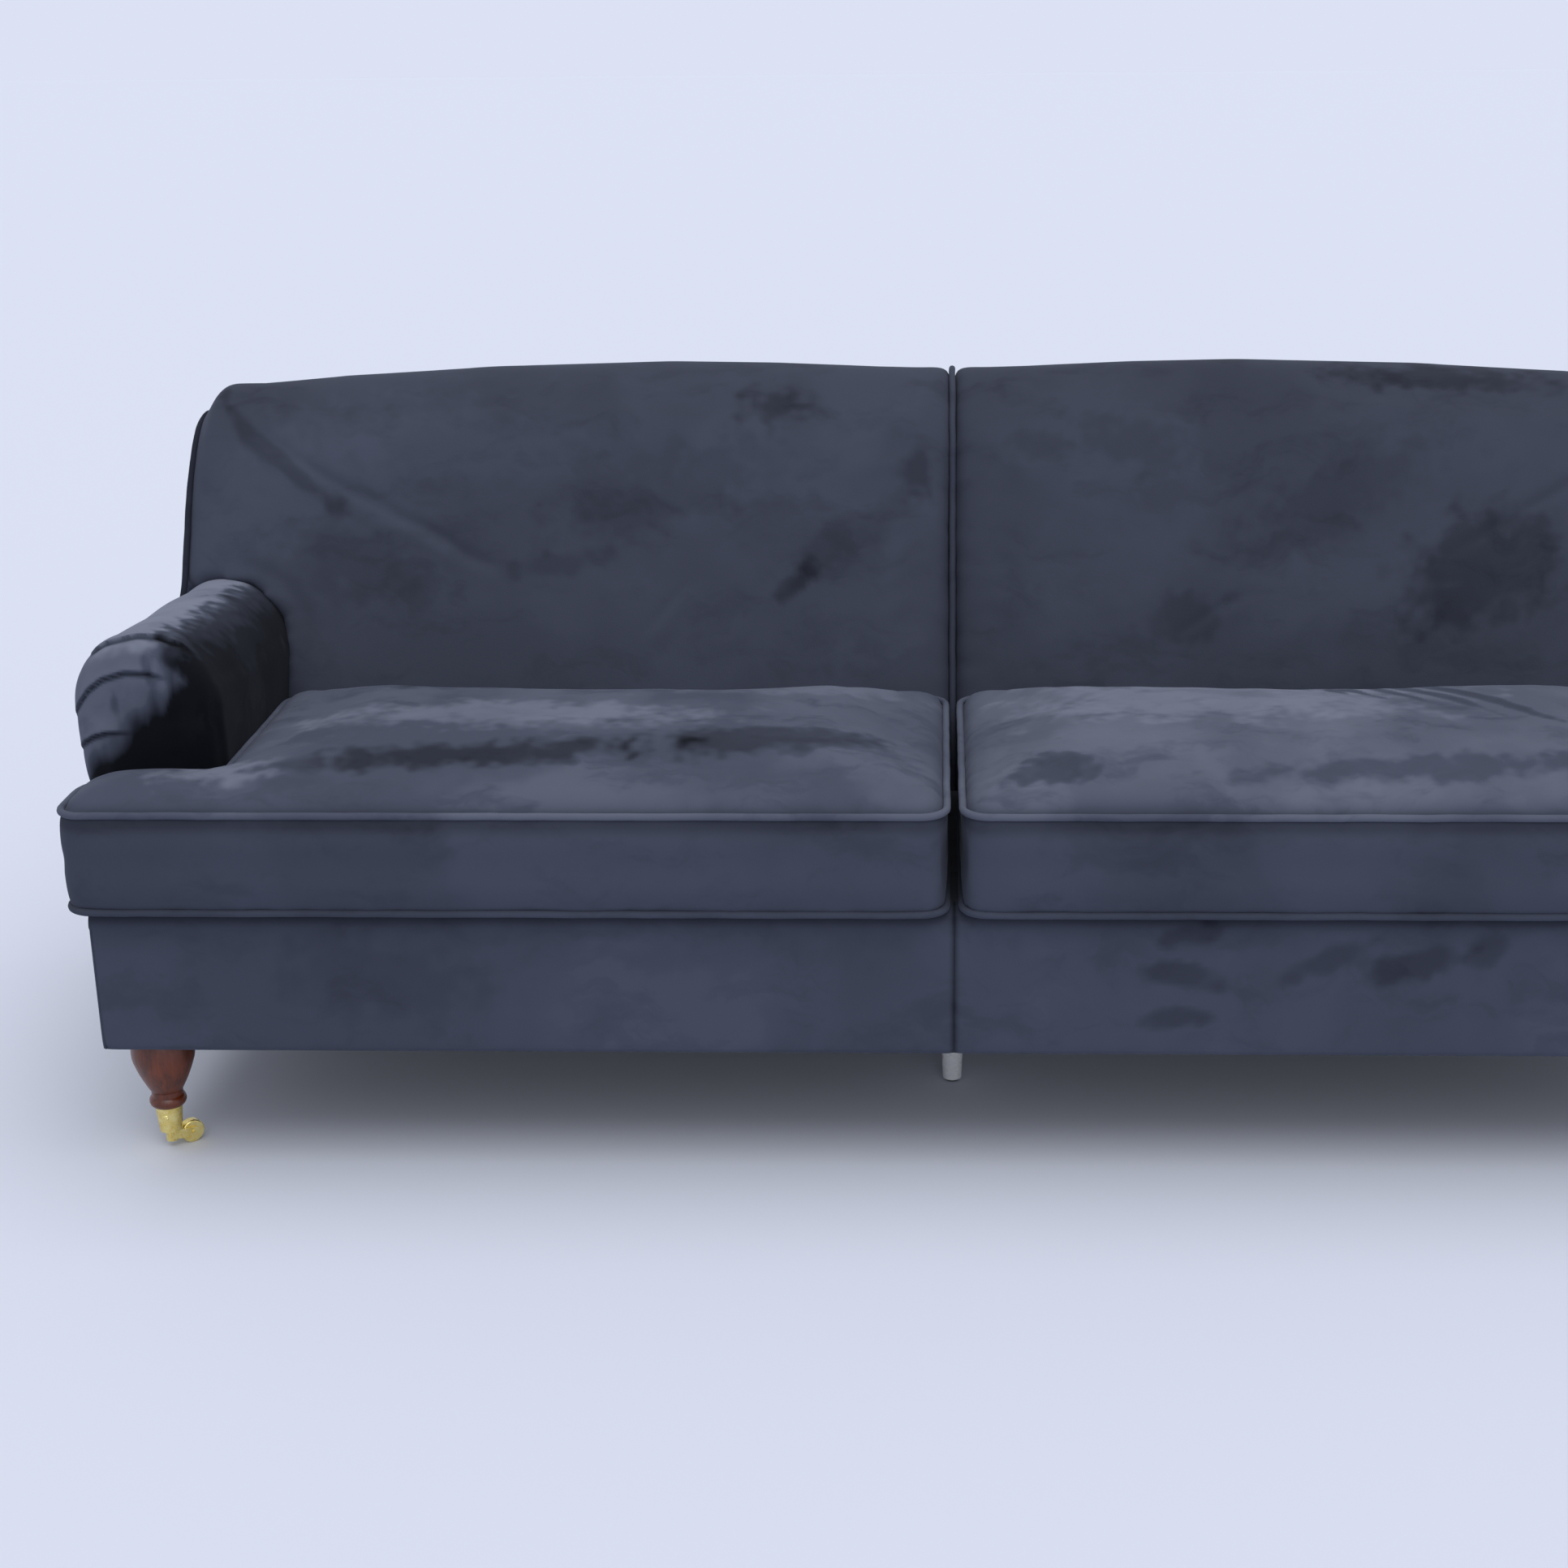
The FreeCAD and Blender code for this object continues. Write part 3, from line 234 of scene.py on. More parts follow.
@dataclass(frozen=True)
class Velvet(Finish):
    """Cut-pile cotton velvet: matt and dark face on, pale where the pile leans over, with brushed marks; the
    tone it reads also carries painted shade and painted light.
    """

    deep: str = "#0b0d14"
    middle: str = "#474c5c"
    pale: str = "#8f94a6"
    sheen: str = "#c2c8d8"
    swirl: float = 90 * MM
    swirl_reach: float = 110 * MM
    patch: float = 260 * MM
    patch_change: float = 0.09
    stroke: float = 55 * MM
    stroke_change: float = -0.07
    stroke_turn: tuple[float, float, float] = (0.0, math.radians(24), math.radians(14))
    pile: float = 2.2 * MM

    def dress(self, tree: Tree, shader: Node) -> None:
        """Lay the brushed nap in patches and strokes over the painted tone, which holds the placed marks,
        painted shade and painted light.
        """
        place = self.place(tree)
        swirl = drift(tree, {"Vector": place, "Scale": 1 / self.swirl, "Detail": 3.0}, self.swirl_reach)
        wander = add_node(tree, "ShaderNodeVectorMath", {0: place, 1: swirl}, operation="ADD").outputs[0]
        patch = speckle(tree, wander, self.patch, 3.0, Roughness=0.5)
        feeds = {"Value": patch, 1: 0.36, 2: 0.66, 3: -0.5, 4: 0.5}
        patch_edge = add_node(tree, "ShaderNodeMapRange", feeds, interpolation_type="SMOOTHSTEP")
        lie = add_node(tree, "ShaderNodeMapping", {"Vector": wander, "Scale": (0.35, 1.0, 1.0),
                                                   "Rotation": self.stroke_turn})
        stroke = speckle(tree, lie.outputs[0], self.stroke, 4.0, Roughness=0.6)
        feeds = {"Value": stroke, 1: 0.48, 2: 0.72, 3: 0.0, 4: 1.0}
        stroke_edge = add_node(tree, "ShaderNodeMapRange", feeds, interpolation_type="SMOOTHSTEP")
        # The nap attribute carries the placed nap marks together with painted shade and painted light
        nap = add_node(tree, "ShaderNodeAttribute", attribute_name="nap").outputs["Fac"]
        swept = weighed(tree, patch_edge.outputs[0], self.patch_change, nap)
        tone = weighed(tree, stroke_edge.outputs[0], self.stroke_change, swept)
        ramp = self.ramp(tree, shader, tone, (self.deep, self.pale))
        ramp.elements.new(0.5).color = linear(self.middle)
        # The pile is about 0.4 mm across, too fine to show, so it is drawn at a few millimetres
        fibre = speckle(tree, place, self.pile, 2.0)
        lean = add_node(tree, "ShaderNodeBump", {"Height": tone, "Strength": 0.35, "Distance": 5 * MM})
        self.emboss(tree, shader, fibre, 0.22, 0.7 * MM, {"Normal": lean.outputs[0]})
        self.settle(shader, {"Roughness": 0.92, "Specular IOR Level": 0.12, "Sheen Weight": 0.08,
                             "Sheen Roughness": 0.38, "Sheen Tint": linear(self.sheen)})


@dataclass(frozen=True)
class Woven(Finish):
    """Plain-woven upholstery cloth: a fine thread grid with slubs, matt."""

    dark: str
    light: str
    thread: float
    roughness: float = 0.88
    # Width of one wave of Blender's wave texture at scale 1, in metres
    wave: float = 0.314
    slub: float = 30 * MM

    def dress(self, tree: Tree, shader: Node) -> None:
        """Cross two thread waves and vary the dye."""
        place = self.place(tree)
        feeds = {"Vector": place, "Scale": self.wave / self.thread, "Distortion": 0.6, "Detail": 1.0}
        warp, weft = [add_node(tree, "ShaderNodeTexWave", feeds, bands_direction=way).outputs["Fac"]
                      for way in "XY"]
        weave = add_node(tree, "ShaderNodeMath", {0: warp, 1: weft}, operation="MULTIPLY").outputs[0]
        dye = weighed(tree, weave, 0.5, speckle(tree, place, self.slub, 4.0))
        self.ramp(tree, shader, dye, (self.dark, self.light))
        self.emboss(tree, shader, weave, 0.3, 0.4 * MM)
        self.settle(shader, {"Roughness": self.roughness})


@dataclass(frozen=True)
class Timber(Finish):
    """Sawn or turned wood: long grain along one axis with pores, bare or lacquered."""

    dark: str
    light: str
    grain: float
    along: tuple[float, float, float]
    roughness: float
    lacquer: float

    def dress(self, tree: Tree, shader: Node) -> None:
        """Stretch noise along the grain and add fine pores."""
        feeds = {"Vector": self.place(tree), "Scale": self.along}
        stretch = add_node(tree, "ShaderNodeMapping", feeds).outputs[0]
        bands = speckle(tree, stretch, self.grain, 5.0, Roughness=0.6, Distortion=0.8)
        pores = speckle(tree, stretch, self.grain / 6, 2.0)
        self.ramp(tree, shader, weighed(tree, pores, 0.35, bands), (self.dark, self.light), (0.42, 0.9))
        self.emboss(tree, shader, pores, 0.12, 0.2 * MM)
        self.settle(shader, {"Roughness": self.roughness, "Coat Weight": self.lacquer,
                             "Coat Roughness": 0.12})


@dataclass(frozen=True)
class Metal(Finish):
    """Cast, drawn or plated metal: mirror-like lobes broken by handling marks."""

    colour: str
    dulled: str
    smooth: float
    worn: float
    grit: float
    metallic: float = 1.0
    mark: float = 12 * MM

    def dress(self, tree: Tree, shader: Node) -> None:
        """Vary colour and roughness with handling marks and add grit."""
        place = self.place(tree)
        marks = speckle(tree, place, self.mark, 5.0, Roughness=0.65)
        self.ramp(tree, shader, marks, (self.dulled, self.colour), (0.35, 0.62))
        feeds = {"Value": marks, 1: 0.3, 2: 0.7, 3: self.worn, 4: self.smooth}
        shine = add_node(tree, "ShaderNodeMapRange", feeds)
        tree.links.new(shine.outputs[0], shader.inputs["Roughness"])
        self.emboss(tree, shader, speckle(tree, place, self.grit, 2.0), 0.06, 0.2 * MM)
        self.settle(shader, {"Metallic": self.metallic})


@dataclass(frozen=True)
class Moulded(Finish):
    """Moulded filler: one colour with a soft mottle and a fine skin."""

    dark: str
    light: str
    grain: float
    roughness: float

    def dress(self, tree: Tree, shader: Node) -> None:
        """Mottle the colour and roughen the skin."""
        mottle = speckle(tree, self.place(tree), self.grain, 4.0)
        self.ramp(tree, shader, mottle, (self.dark, self.light))
        self.emboss(tree, shader, mottle, 0.2, 0.3 * MM)
        self.settle(shader, {"Roughness": self.roughness})


# Grey-blue cotton velvet, steamed and brushed by hand: broad pale and dark sweeps
VELVET = Velvet("cotton velvet")
# Black cotton twill on the seat deck, under the cushions: dull, with a fine diagonal thread
DECK_TWILL = Woven("cotton deck twill", "#14161c", "#2a2d36", 2.4 * MM)
# Black spun-bonded cambric under the frame: thin, dull and slightly fluffy
CAMBRIC = Woven("spun-bonded cambric", "#0e0f11", "#232428", 1.8 * MM, 0.95)
# Jute and rubber webbing: coarse tan ribs
WEBBING = Woven("jute webbing", "#6a5236", "#a88a5e", 3.0 * MM)
# Mahogany turned on a lathe, stained red-brown and lacquered: dark pores under a clear gloss
MAHOGANY = Timber("lacquered mahogany", "#2e1003", "#74300a", 9 * MM, (1.0, 1.0, 0.12), 0.34, 0.15)
# Planed beech for the hidden frame: pale, dry, with short flecks
BEECH = Timber("planed beech", "#a27c55", "#d2ab7c", 8 * MM, (0.12, 1.0, 1.0), 0.62, 0.0)
# Polished cast brass with a warm gloss and finger marks
BRASS = Metal("polished brass", "#f7e69c", "#e2c76a", 0.16, 0.34, 1.2 * MM, 0.8)
# Steel tube drawn near white and barely metallic, a painted reflection that stands in for its bright shine:
# pale and satin, with a faint haze
BRIGHT_PAINTED_STEEL = Metal("steel with painted reflection", "#ffffff", "#f2f4f8", 0.22, 0.36, 1.5 * MM, 0.1)
# Zinc-plated bolts and nuts: grey, slightly blotched
ZINC = Metal("zinc-plated steel", "#b7b9ba", "#87898a", 0.32, 0.5, 0.8 * MM)
# Oiled spring wire: dark grey steel
SPRING_STEEL = Metal("oiled spring steel", "#6f7277", "#4a4c50", 0.3, 0.48, 0.9 * MM)
# Black nylon glides: moulded, satin
NYLON = Moulded("moulded nylon", "#101113", "#1d1e20", 1.5 * MM, 0.5)

BEECH_NODES = ("arm_posts", "arm_rails", "back_posts", "centre_rail", "corner_blocks", "front_rail",
               "lower_back_rail", "rear_rail", "side_rails", "spring_rail", "top_back_rail")
CAD_FINISHES: dict[str, Finish] = {
    **dict.fromkeys(BEECH_NODES, BEECH),
    **dict.fromkeys(("leg_bolts", "tee_nuts", "support_screws", "spring_clips"), ZINC),
    **dict.fromkeys(("rear_glides", "support_glide"), NYLON),
    "back_webbing": WEBBING, "seat_springs": SPRING_STEEL, "support_leg": BRIGHT_PAINTED_STEEL,
}


def points_of(mesh: Mesh) -> Points:
    """Read a mesh's vertices as an array."""
    flat = np.empty(3 * len(mesh.vertices), np.float32)
    mesh.vertices.foreach_get("co", flat)
    return flat.reshape(-1, 3).astype(float)


def normals_of(mesh: Mesh) -> Points:
    """Read a mesh's vertex normals as an array."""
    flat = np.empty(len(mesh.vertices) * 3, np.float32)
    mesh.vertex_normals.foreach_get("vector", flat)
    return flat.reshape(-1, 3).astype(float)


def set_points(mesh: Mesh, points: Points) -> None:
    """Write an array back to a mesh's vertices."""
    mesh.vertices.foreach_set("co", points.astype(np.float32).ravel())
    mesh.update()


def ripple(points: Points, size: float, seed: int) -> Points:
    """Sample smooth noise at points.

    Args:
        points: Places, in metres.
        size: Width of one swell, in metres.
        seed: Shift that makes one noise differ from another.

    Returns:
        A value from about -1 to 1 for each point.
    """
    shift = Vector((seed * 3.17, seed * 7.31, seed * 1.93))
    return np.array([noise.noise(Vector(p) / size + shift) for p in points])


def ease(values: Points, low: float, high: float) -> Points:
    """Rise smoothly from 0 at low to 1 at high, either way round."""
    share = np.clip((values - low) / (high - low), 0, 1)
    return share * share * (3 - 2 * share)


def new_object(name: str, mesh: Mesh) -> Thing:
    """Link a mesh into the scene under a name."""
    made = bpy.data.objects.new(name, mesh)
    bpy.context.scene.collection.objects.link(made)
    return made


def baked(piece: Thing) -> Mesh:
    """Turn a piece and its modifiers into a plain mesh, and take the modifiers off."""
    graph = bpy.context.evaluated_depsgraph_get()
    mesh = bpy.data.meshes.new_from_object(piece.evaluated_get(graph))
    piece.modifiers.clear()
    piece.data = mesh
    return mesh


def quads(rows: int, count: int, start: int = 0) -> list[tuple[int, ...]]:
    """List the faces between rows of points.

    Args:
        rows: Number of rows.
        count: Points in each row.
        start: Index of the first point.

    Returns:
        Corners of each face.
    """
    corners = [start + r * count + c for r in range(rows - 1) for c in range(count - 1)]
    return [(a, a + 1, a + count + 1, a + count) for a in corners]


def grid_mesh(name: str, rows: Sequence[Points]) -> Mesh:
    """Join rows of points into quads.

    Args:
        name: Name of the mesh.
        rows: Arrays of the same length, one after the other.

    Returns:
        The open mesh.
    """
    faces = quads(len(rows), len(rows[0]))
    mesh = bpy.data.meshes.new(name)
    mesh.from_pydata(np.concatenate(rows).tolist(), [], faces)
    return mesh


@dataclass(frozen=True)
class Mark:
    """A brushed mark in the nap: place, half sizes, turn in degrees and change of tone."""

    across: float
    along: float
    half_long: float
    half_wide: float
    turn: float
    change: float

    def on(self, points: Points, plane: Plane) -> Points:
        """Work out the mark's change of tone.

        Args:
            points: Places on the piece.
            plane: Axes in which the mark is laid out.

        Returns:
            Change of tone at each point, with a ragged edge.
        """
        first, second = plane.value
        u, v = points[:, first] - self.across, points[:, second] - self.along
        near = np.hypot(u, v) < 1.8 * self.half_long + 0.03
        change = np.zeros(len(points))
        if not near.any():
            return change
        turn = math.radians(self.turn)
        long = u[near] * math.cos(turn) + v[near] * math.sin(turn)
        wide = v[near] * math.cos(turn) - u[near] * math.sin(turn)
        ragged = 0.55 * ripple(points[near], 35 * MM, 5) + 0.35 * ripple(points[near], 14 * MM, 9)
        reach = np.hypot(long / self.half_long, wide / self.half_wide) + ragged
        change[near] = self.change * (1 - ease(reach, 0.45, 1.25))
        return change


def paint_nap_shade_and_light(mesh: Mesh, tone: Points) -> None:
    """Store each point's tone: how the pile is brushed, with painted shade and painted light added; 0 dark,
    0.5 as woven, 1 pale.
    """
    # The nap attribute holds the brushed nap together with painted shade and painted light
    layer = mesh.attributes.new("nap", "FLOAT", "POINT")
    layer.data.foreach_set("value", np.clip(tone, 0, 1).astype(np.float32))


def marked(points: Points, marks: Sequence[Mark], plane: Plane, base: float = 0.5) -> Points:
    """Add up marks over a base tone."""
    return base + sum((mark.on(points, plane) for mark in marks), np.zeros(len(points)))


def weld(mesh: Mesh, turn: bool = False) -> None:
    """Join points that coincide and, if asked, turn all faces outwards."""
    shape = bmesh.new()
    shape.from_mesh(mesh)
    bmesh.ops.remove_doubles(shape, verts=shape.verts, dist=0.01 * MM)
    if turn:
        bmesh.ops.recalc_face_normals(shape, faces=shape.faces)
    shape.to_mesh(mesh)
    shape.free()


@dataclass
class Padding:
    """How a padded form is taken from its CAD solid and puffed up as cloth under pressure."""

    voxel: float
    cap: float
    smoothing: int = 8
    pressure: float = 4.0
    frames: int = 14

    def start(self, node: str) -> Thing:
        """Remesh a copy of a CAD node evenly and take its facets off."""
        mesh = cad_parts[node].data.copy()
        weld(mesh)
        piece = new_object(node + "_form", mesh)
        even = piece.modifiers.new("even", "REMESH")
        even.mode = "VOXEL"
        even.voxel_size = self.voxel
        self.soften(baked(piece), self.smoothing)
        return piece

    @staticmethod
    def soften(mesh: Mesh, rounds: int) -> None:
        """Average each point with its neighbours a number of times, in and out again to keep the size."""
        ends = np.empty(len(mesh.edges) * 2, np.int32)
        mesh.edges.foreach_get("vertices", ends)
        a, b = ends.reshape(-1, 2).T
        points = points_of(mesh)
        count = np.bincount(np.concatenate([a, b]), minlength=len(points))[:, None]
        for share in (0.5, -0.52) * rounds:
            sums = [np.bincount(a, points[b, k], len(points)) + np.bincount(b, points[a, k], len(points))
                    for k in range(3)]
            total = np.stack(sums, 1)
            points = points + share * (total / np.maximum(count, 1) - points)
        set_points(mesh, points)

    def puff(self, node: str, held: Callable[[Points], Points],
             room: Callable[[Points], Points]) -> Mesh:
        """Blow a form up with cloth simulation.

        Args:
            node: CAD node that gives the form.
            held: Gives 1 for points that the seams and the frame hold, 0 for free ones.
            room: Gives how far each point may move, as a share of the cap.

        Returns:
            The puffed mesh, subdivided once.
        """
        piece = self.start(node)
        rest = points_of(piece.data)
        pinned = piece.vertex_groups.new(name="held")
        pinned.add(np.flatnonzero(held(rest) > 0.5).tolist(), 1.0, "REPLACE")
        cloth = piece.modifiers.new("cloth", "CLOTH")
        cloth.settings.vertex_group_mass = "held"
        cloth.settings.use_pressure = True
        cloth.settings.uniform_pressure_force = self.pressure
        cloth.settings.effector_weights.gravity = 0.0
        cloth.settings.quality = 3
        scene = bpy.context.scene
        for step in range(1, self.frames + 1):
            scene.frame_set(step)
        outwards = normals_of(piece.data)
        moved = points_of(baked(piece)) - rest
        scene.frame_set(1)
        swell = np.clip((moved * outwards).sum(1), 0, self.cap * room(rest))
        set_points(piece.data, rest + outwards * swell[:, None])
        self.soften(piece.data, 2)
        piece.vertex_groups.clear()
        finer = piece.modifiers.new("finer", "SUBSURF")
        finer.levels = finer.render_levels = 1
        mesh = baked(piece)
        bpy.data.objects.remove(piece)
        return mesh


def own_copy(mesh: Mesh, side: Side) -> Mesh:
    """Copy a form of the right end to a side, faces outwards."""
    made = mesh.copy()
    if side is Side.RIGHT:
        return made
    points = points_of(made)
    points[:, 0] *= -1
    set_points(made, points)
    made.flip_normals()
    return made


def finish_piece(name: str, mesh: Mesh, finish: Finish, body: str,
                 nodes: Sequence[str]) -> Thing:
    """Dress a mesh and put it in place of its CAD nodes.

    Args:
        name: Name of the piece.
        mesh: Its finished mesh.
        finish: Its surface.
        body: CAD body that it rides on.
        nodes: CAD nodes that it stands for.

    Returns:
        The piece.
    """
    mesh.name = name
    mesh.materials.clear()
    mesh.materials.append(finish.material())
    mesh.polygons.foreach_set("use_smooth", [True] * len(mesh.polygons))
    piece = new_object(name, mesh)
    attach(piece, body)
    if nodes:
        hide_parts(*nodes)
    LOG.info("%s: %d faces", name, len(mesh.polygons))
    return piece


@dataclass
class Piping:
    """A bias-cut velvet cord sewn into a seam, drawn along its path by geometry nodes."""

    radius: float = 4.5 * MM
    step: float = 5 * MM
    stray: float = 1.1 * MM
    wander: float = 70 * MM

    def tree(self) -> Tree:
        """Build the node tree that turns a line into a slightly wandering cord."""
        found = bpy.data.node_groups.get("piping")
        if found:
            return found
        tree = bpy.data.node_groups.new("piping", "GeometryNodeTree")
        for title, kind in (("Path", "NodeSocketGeometry"), ("Radius", "NodeSocketFloat"),
                            ("Step", "NodeSocketFloat"), ("Stray", "NodeSocketFloat"),
                            ("Material", "NodeSocketMaterial")):
            tree.interface.new_socket(title, in_out="INPUT", socket_type=kind)
        tree.interface.new_socket("Cord", in_out="OUTPUT", socket_type="NodeSocketGeometry")
        given = add_node(tree, "NodeGroupInput")
        line = add_node(tree, "GeometryNodeMeshToCurve", {"Mesh": given.outputs["Path"]})
        feeds = {"Curve": line.outputs[0], "Length": given.outputs["Step"]}
        even = add_node(tree, "GeometryNodeResampleCurve", feeds, mode="LENGTH")
        offset = drift(tree, {"Scale": 1 / self.wander, "Detail": 2.0}, given.outputs["Stray"])
        moved = add_node(tree, "GeometryNodeSetPosition", {"Geometry": even.outputs[0], "Offset": offset})
        feeds = {"Resolution": 12, "Radius": given.outputs["Radius"]}
        ring = add_node(tree, "GeometryNodeCurvePrimitiveCircle", feeds)
        feeds = {"Curve": moved.outputs[0], "Profile Curve": ring.outputs[0], "Fill Caps": True}
        cord = add_node(tree, "GeometryNodeCurveToMesh", feeds)
        smooth = add_node(tree, "GeometryNodeSetShadeSmooth", {"Geometry": cord.outputs[0]})
        real = add_node(tree, "GeometryNodeRealizeInstances", {"Geometry": smooth.outputs[0]})
        feeds = {"Geometry": real.outputs[0], "Material": given.outputs["Material"]}
        dressed = add_node(tree, "GeometryNodeSetMaterial", feeds)
        add_node(tree, "NodeGroupOutput", {0: dressed.outputs[0]})
        return tree

    def along(self, paths: Sequence[Points], closed: bool) -> Mesh:
        """Draw the cord along paths.

        Args:
            paths: Points of each line.
            closed: Whether each line runs back to its start.

        Returns:
            The cord's mesh.
        """
        places: list[list[float]] = []
        edges: list[tuple[int, int]] = []
        for path in paths:
            start, count = len(places), len(path)
            places += path.tolist()
            edges += [(start + i, start + (i + 1) % count) for i in range(count if closed else count - 1)]
        mesh = bpy.data.meshes.new("path")
        mesh.from_pydata(places, edges, [])
        piece = new_object("path", mesh)
        drawn = piece.modifiers.new("piping", "NODES")
        drawn.node_group = self.tree()
        values = {"Radius": self.radius, "Step": self.step, "Stray": 2 * self.stray,
                  "Material": VELVET.material()}
        for item in drawn.node_group.interface.items_tree:
            if item.in_out == "INPUT" and item.name in values:
                drawn[item.identifier] = values[item.name]
        cord = baked(piece)
        bpy.data.objects.remove(piece)
        return cord


def rounded_path(corners: Sequence[tuple[float, float]], radii: Sequence[float], height: float) -> Points:
    """Walk round a polygon with rounded corners.

    Args:
        corners: (x, y) corners in order.
        radii: Radius at each corner.
        height: Height of the whole path.

    Returns:
        Points of the closed path.
    """
    places = []
    spots = [Vector(corner) for corner in corners]
    for index, spot in enumerate(spots):
        before = (spots[index - 1] - spot).normalized()
        after = (spots[(index + 1) % len(spots)] - spot).normalized()
        centre = spot + (before + after) * radii[index]
        for share in np.linspace(0, math.pi / 2, 9):
            place = centre - after * radii[index] * math.cos(share) - before * radii[index] * math.sin(share)
            places.append((place.x, place.y, height))
    return np.array(places)


@dataclass
class SeatCushion:
    """One loose L-shaped seat cushion: boxed velvet cover over foam, piped at both seams."""

    side: Side
    lower_seam: float = 355.4 * MM
    upper_seam: float = 478.4 * MM
    near: float = 9.4 * MM
    wing: float = 1066.6 * MM
    inner_side: float = 906.6 * MM
    front: float = -433.6 * MM
    step: float = -290.4 * MM
    rear: float = 6.0 * MM
    rear_lean: float = 0.394
    corner: float = 32.6 * MM
    wing_corner: float = 66.6 * MM
    inner_corner: float = 9.4 * MM
    cover: float = 2.4 * MM
    pucker: float = 1.5 * MM
    bulge: float = 8 * MM
    marks: tuple[Mark, ...] = ()
    fullness: float = 9 * MM
    # Painted light on the crown and painted shade on the upright border
    top_painted_light: float = 0.03
    border_shaded_tone: float = 0.43

    def seam_path(self, height: float) -> Points:
        """Walk along one seam, on this cushion's own side."""
        back = self.rear + (height - self.lower_seam) * self.rear_lean
        corners = [(self.near, self.front), (self.wing, self.front), (self.wing, self.step),
                   (self.inner_side, self.step), (self.inner_side, back), (self.near, back)]
        radii = [self.corner] * 2 + [self.wing_corner, self.inner_corner] + [self.corner] * 2
        path = rounded_path(corners, radii, height)
        path[:, 0] *= self.side.value
        return path

    def held(self, points: Points) -> Points:
        """Hold the seams and the bottom that rests on the deck."""
        z = points[:, 2]
        seam = np.minimum(np.abs(z - self.upper_seam + 1 * MM), np.abs(z - self.lower_seam))
        return ((seam < 5 * MM) & (z < self.upper_seam + 5 * MM) | (z < self.lower_seam)).astype(float)

    def room(self, points: Points) -> Points:
        """Let the crown rise more than the border."""
        return np.where(points[:, 2] > self.upper_seam, 1.0, 0.5)

    def shaped(self, mesh: Mesh) -> None:
        """Bring the surface out to the cover, gather it at the piping and paint the nap with painted shade
        and painted light.
        """
        points, normals = points_of(mesh), normals_of(mesh)
        z = points[:, 2]
        free = ease(z, self.lower_seam - 4 * MM, self.lower_seam + 2 * MM)
        push = self.cover * free
        from_seam = np.minimum(np.abs(z - self.upper_seam), np.abs(z - self.lower_seam))
        gather = ripple(points * (1.0, 1.0, 0.25), 16 * MM, 3) * np.exp(-from_seam / (14 * MM))
        patchy = ease(ripple(points, 180 * MM, 8 + self.side.value), -0.25, 0.5)
        push += self.pucker * gather * patchy * free
        crown = ease(z, self.upper_seam, self.upper_seam + 20 * MM)
        push += 2.2 * MM * ripple(points, 150 * MM, 11 + self.side.value) * crown
        push += 1.3 * MM * ripple(points * (1.0, 1.0, 0.5), 60 * MM, 17) * free
        u = np.clip((np.abs(points[:, 0]) - self.near) / (self.inner_side - self.near), 0, 1)
        v = np.clip((points[:, 1] - self.front) / (self.rear - self.front), 0, 1)
        dome = (16 * u * (1 - u) * v * (1 - v)) ** 0.6
        push += self.fullness * dome * ease(z, self.upper_seam + 2 * MM, self.upper_seam + 20 * MM)
        height = np.clip((z - self.lower_seam) / (self.upper_seam - self.lower_seam), 0, 1)
        outer = np.maximum(ease(-normals[:, 1], 0.3, 0.8),
                           ease(np.abs(points[:, 0]), self.inner_side + 80 * MM, self.wing - 20 * MM))
        push += (3 * MM + self.bulge * outer) * np.sin(math.pi * height) ** 0.5
        set_points(mesh, points + normals * push[:, None])
        top = ease(z, self.upper_seam - 5 * MM, self.upper_seam + 20 * MM)
        tone = marked(points, self.marks, Plane.FLAT)
        # Painted light and shade: the crown is painted lighter and the upright border darker
        tone = np.where(z > self.upper_seam, tone, self.border_shaded_tone) + self.top_painted_light * top
        # Painted shade: a dark band on the border just under the top cord
        tone -= 0.16 * np.exp(-((z - self.upper_seam + 12 * MM) / (9 * MM)) ** 2)
        paint_nap_shade_and_light(mesh, tone)

    def build(self, form: Mesh) -> None:
        """Make the padded cushion and its two cords from the puffed form."""
        label = self.side.label
        mesh = own_copy(form, self.side)
        self.shaped(mesh)
        body = label + "_cushion"
        cushion = finish_piece(label + "_seat_cushion", mesh, VELVET, body,
                               [label + "_cushion_cover", label + "_cushion_core"])
        seams = [self.seam_path(self.upper_seam), self.seam_path(self.lower_seam)]
        cords = Piping().along(seams, closed=True)
        # Painted shade: the lower cord, low down by the rail, is painted darker than the upper one
        paint_nap_shade_and_light(cords, np.where(points_of(cords)[:, 2] > 0.42, 0.56, 0.40))
        finish_piece(label + "_seat_piping", cords, VELVET, body, [label + "_cushion_piping"])


SHOULDER_RISE = 15 * MM
SHOULDER_ACROSS = (0.98, 1.05)
SHOULDER_UP = (0.68, 0.82)


def shouldered(points: Points) -> Points:
    """Fill the back's upper outer corners, where the cover is drawn square over the frame."""
    x, z = np.abs(points[:, 0]), points[:, 2]
    made = points.copy()
    made[:, 2] += SHOULDER_RISE * ease(x, *SHOULDER_ACROSS) * ease(z, *SHOULDER_UP)
    return made


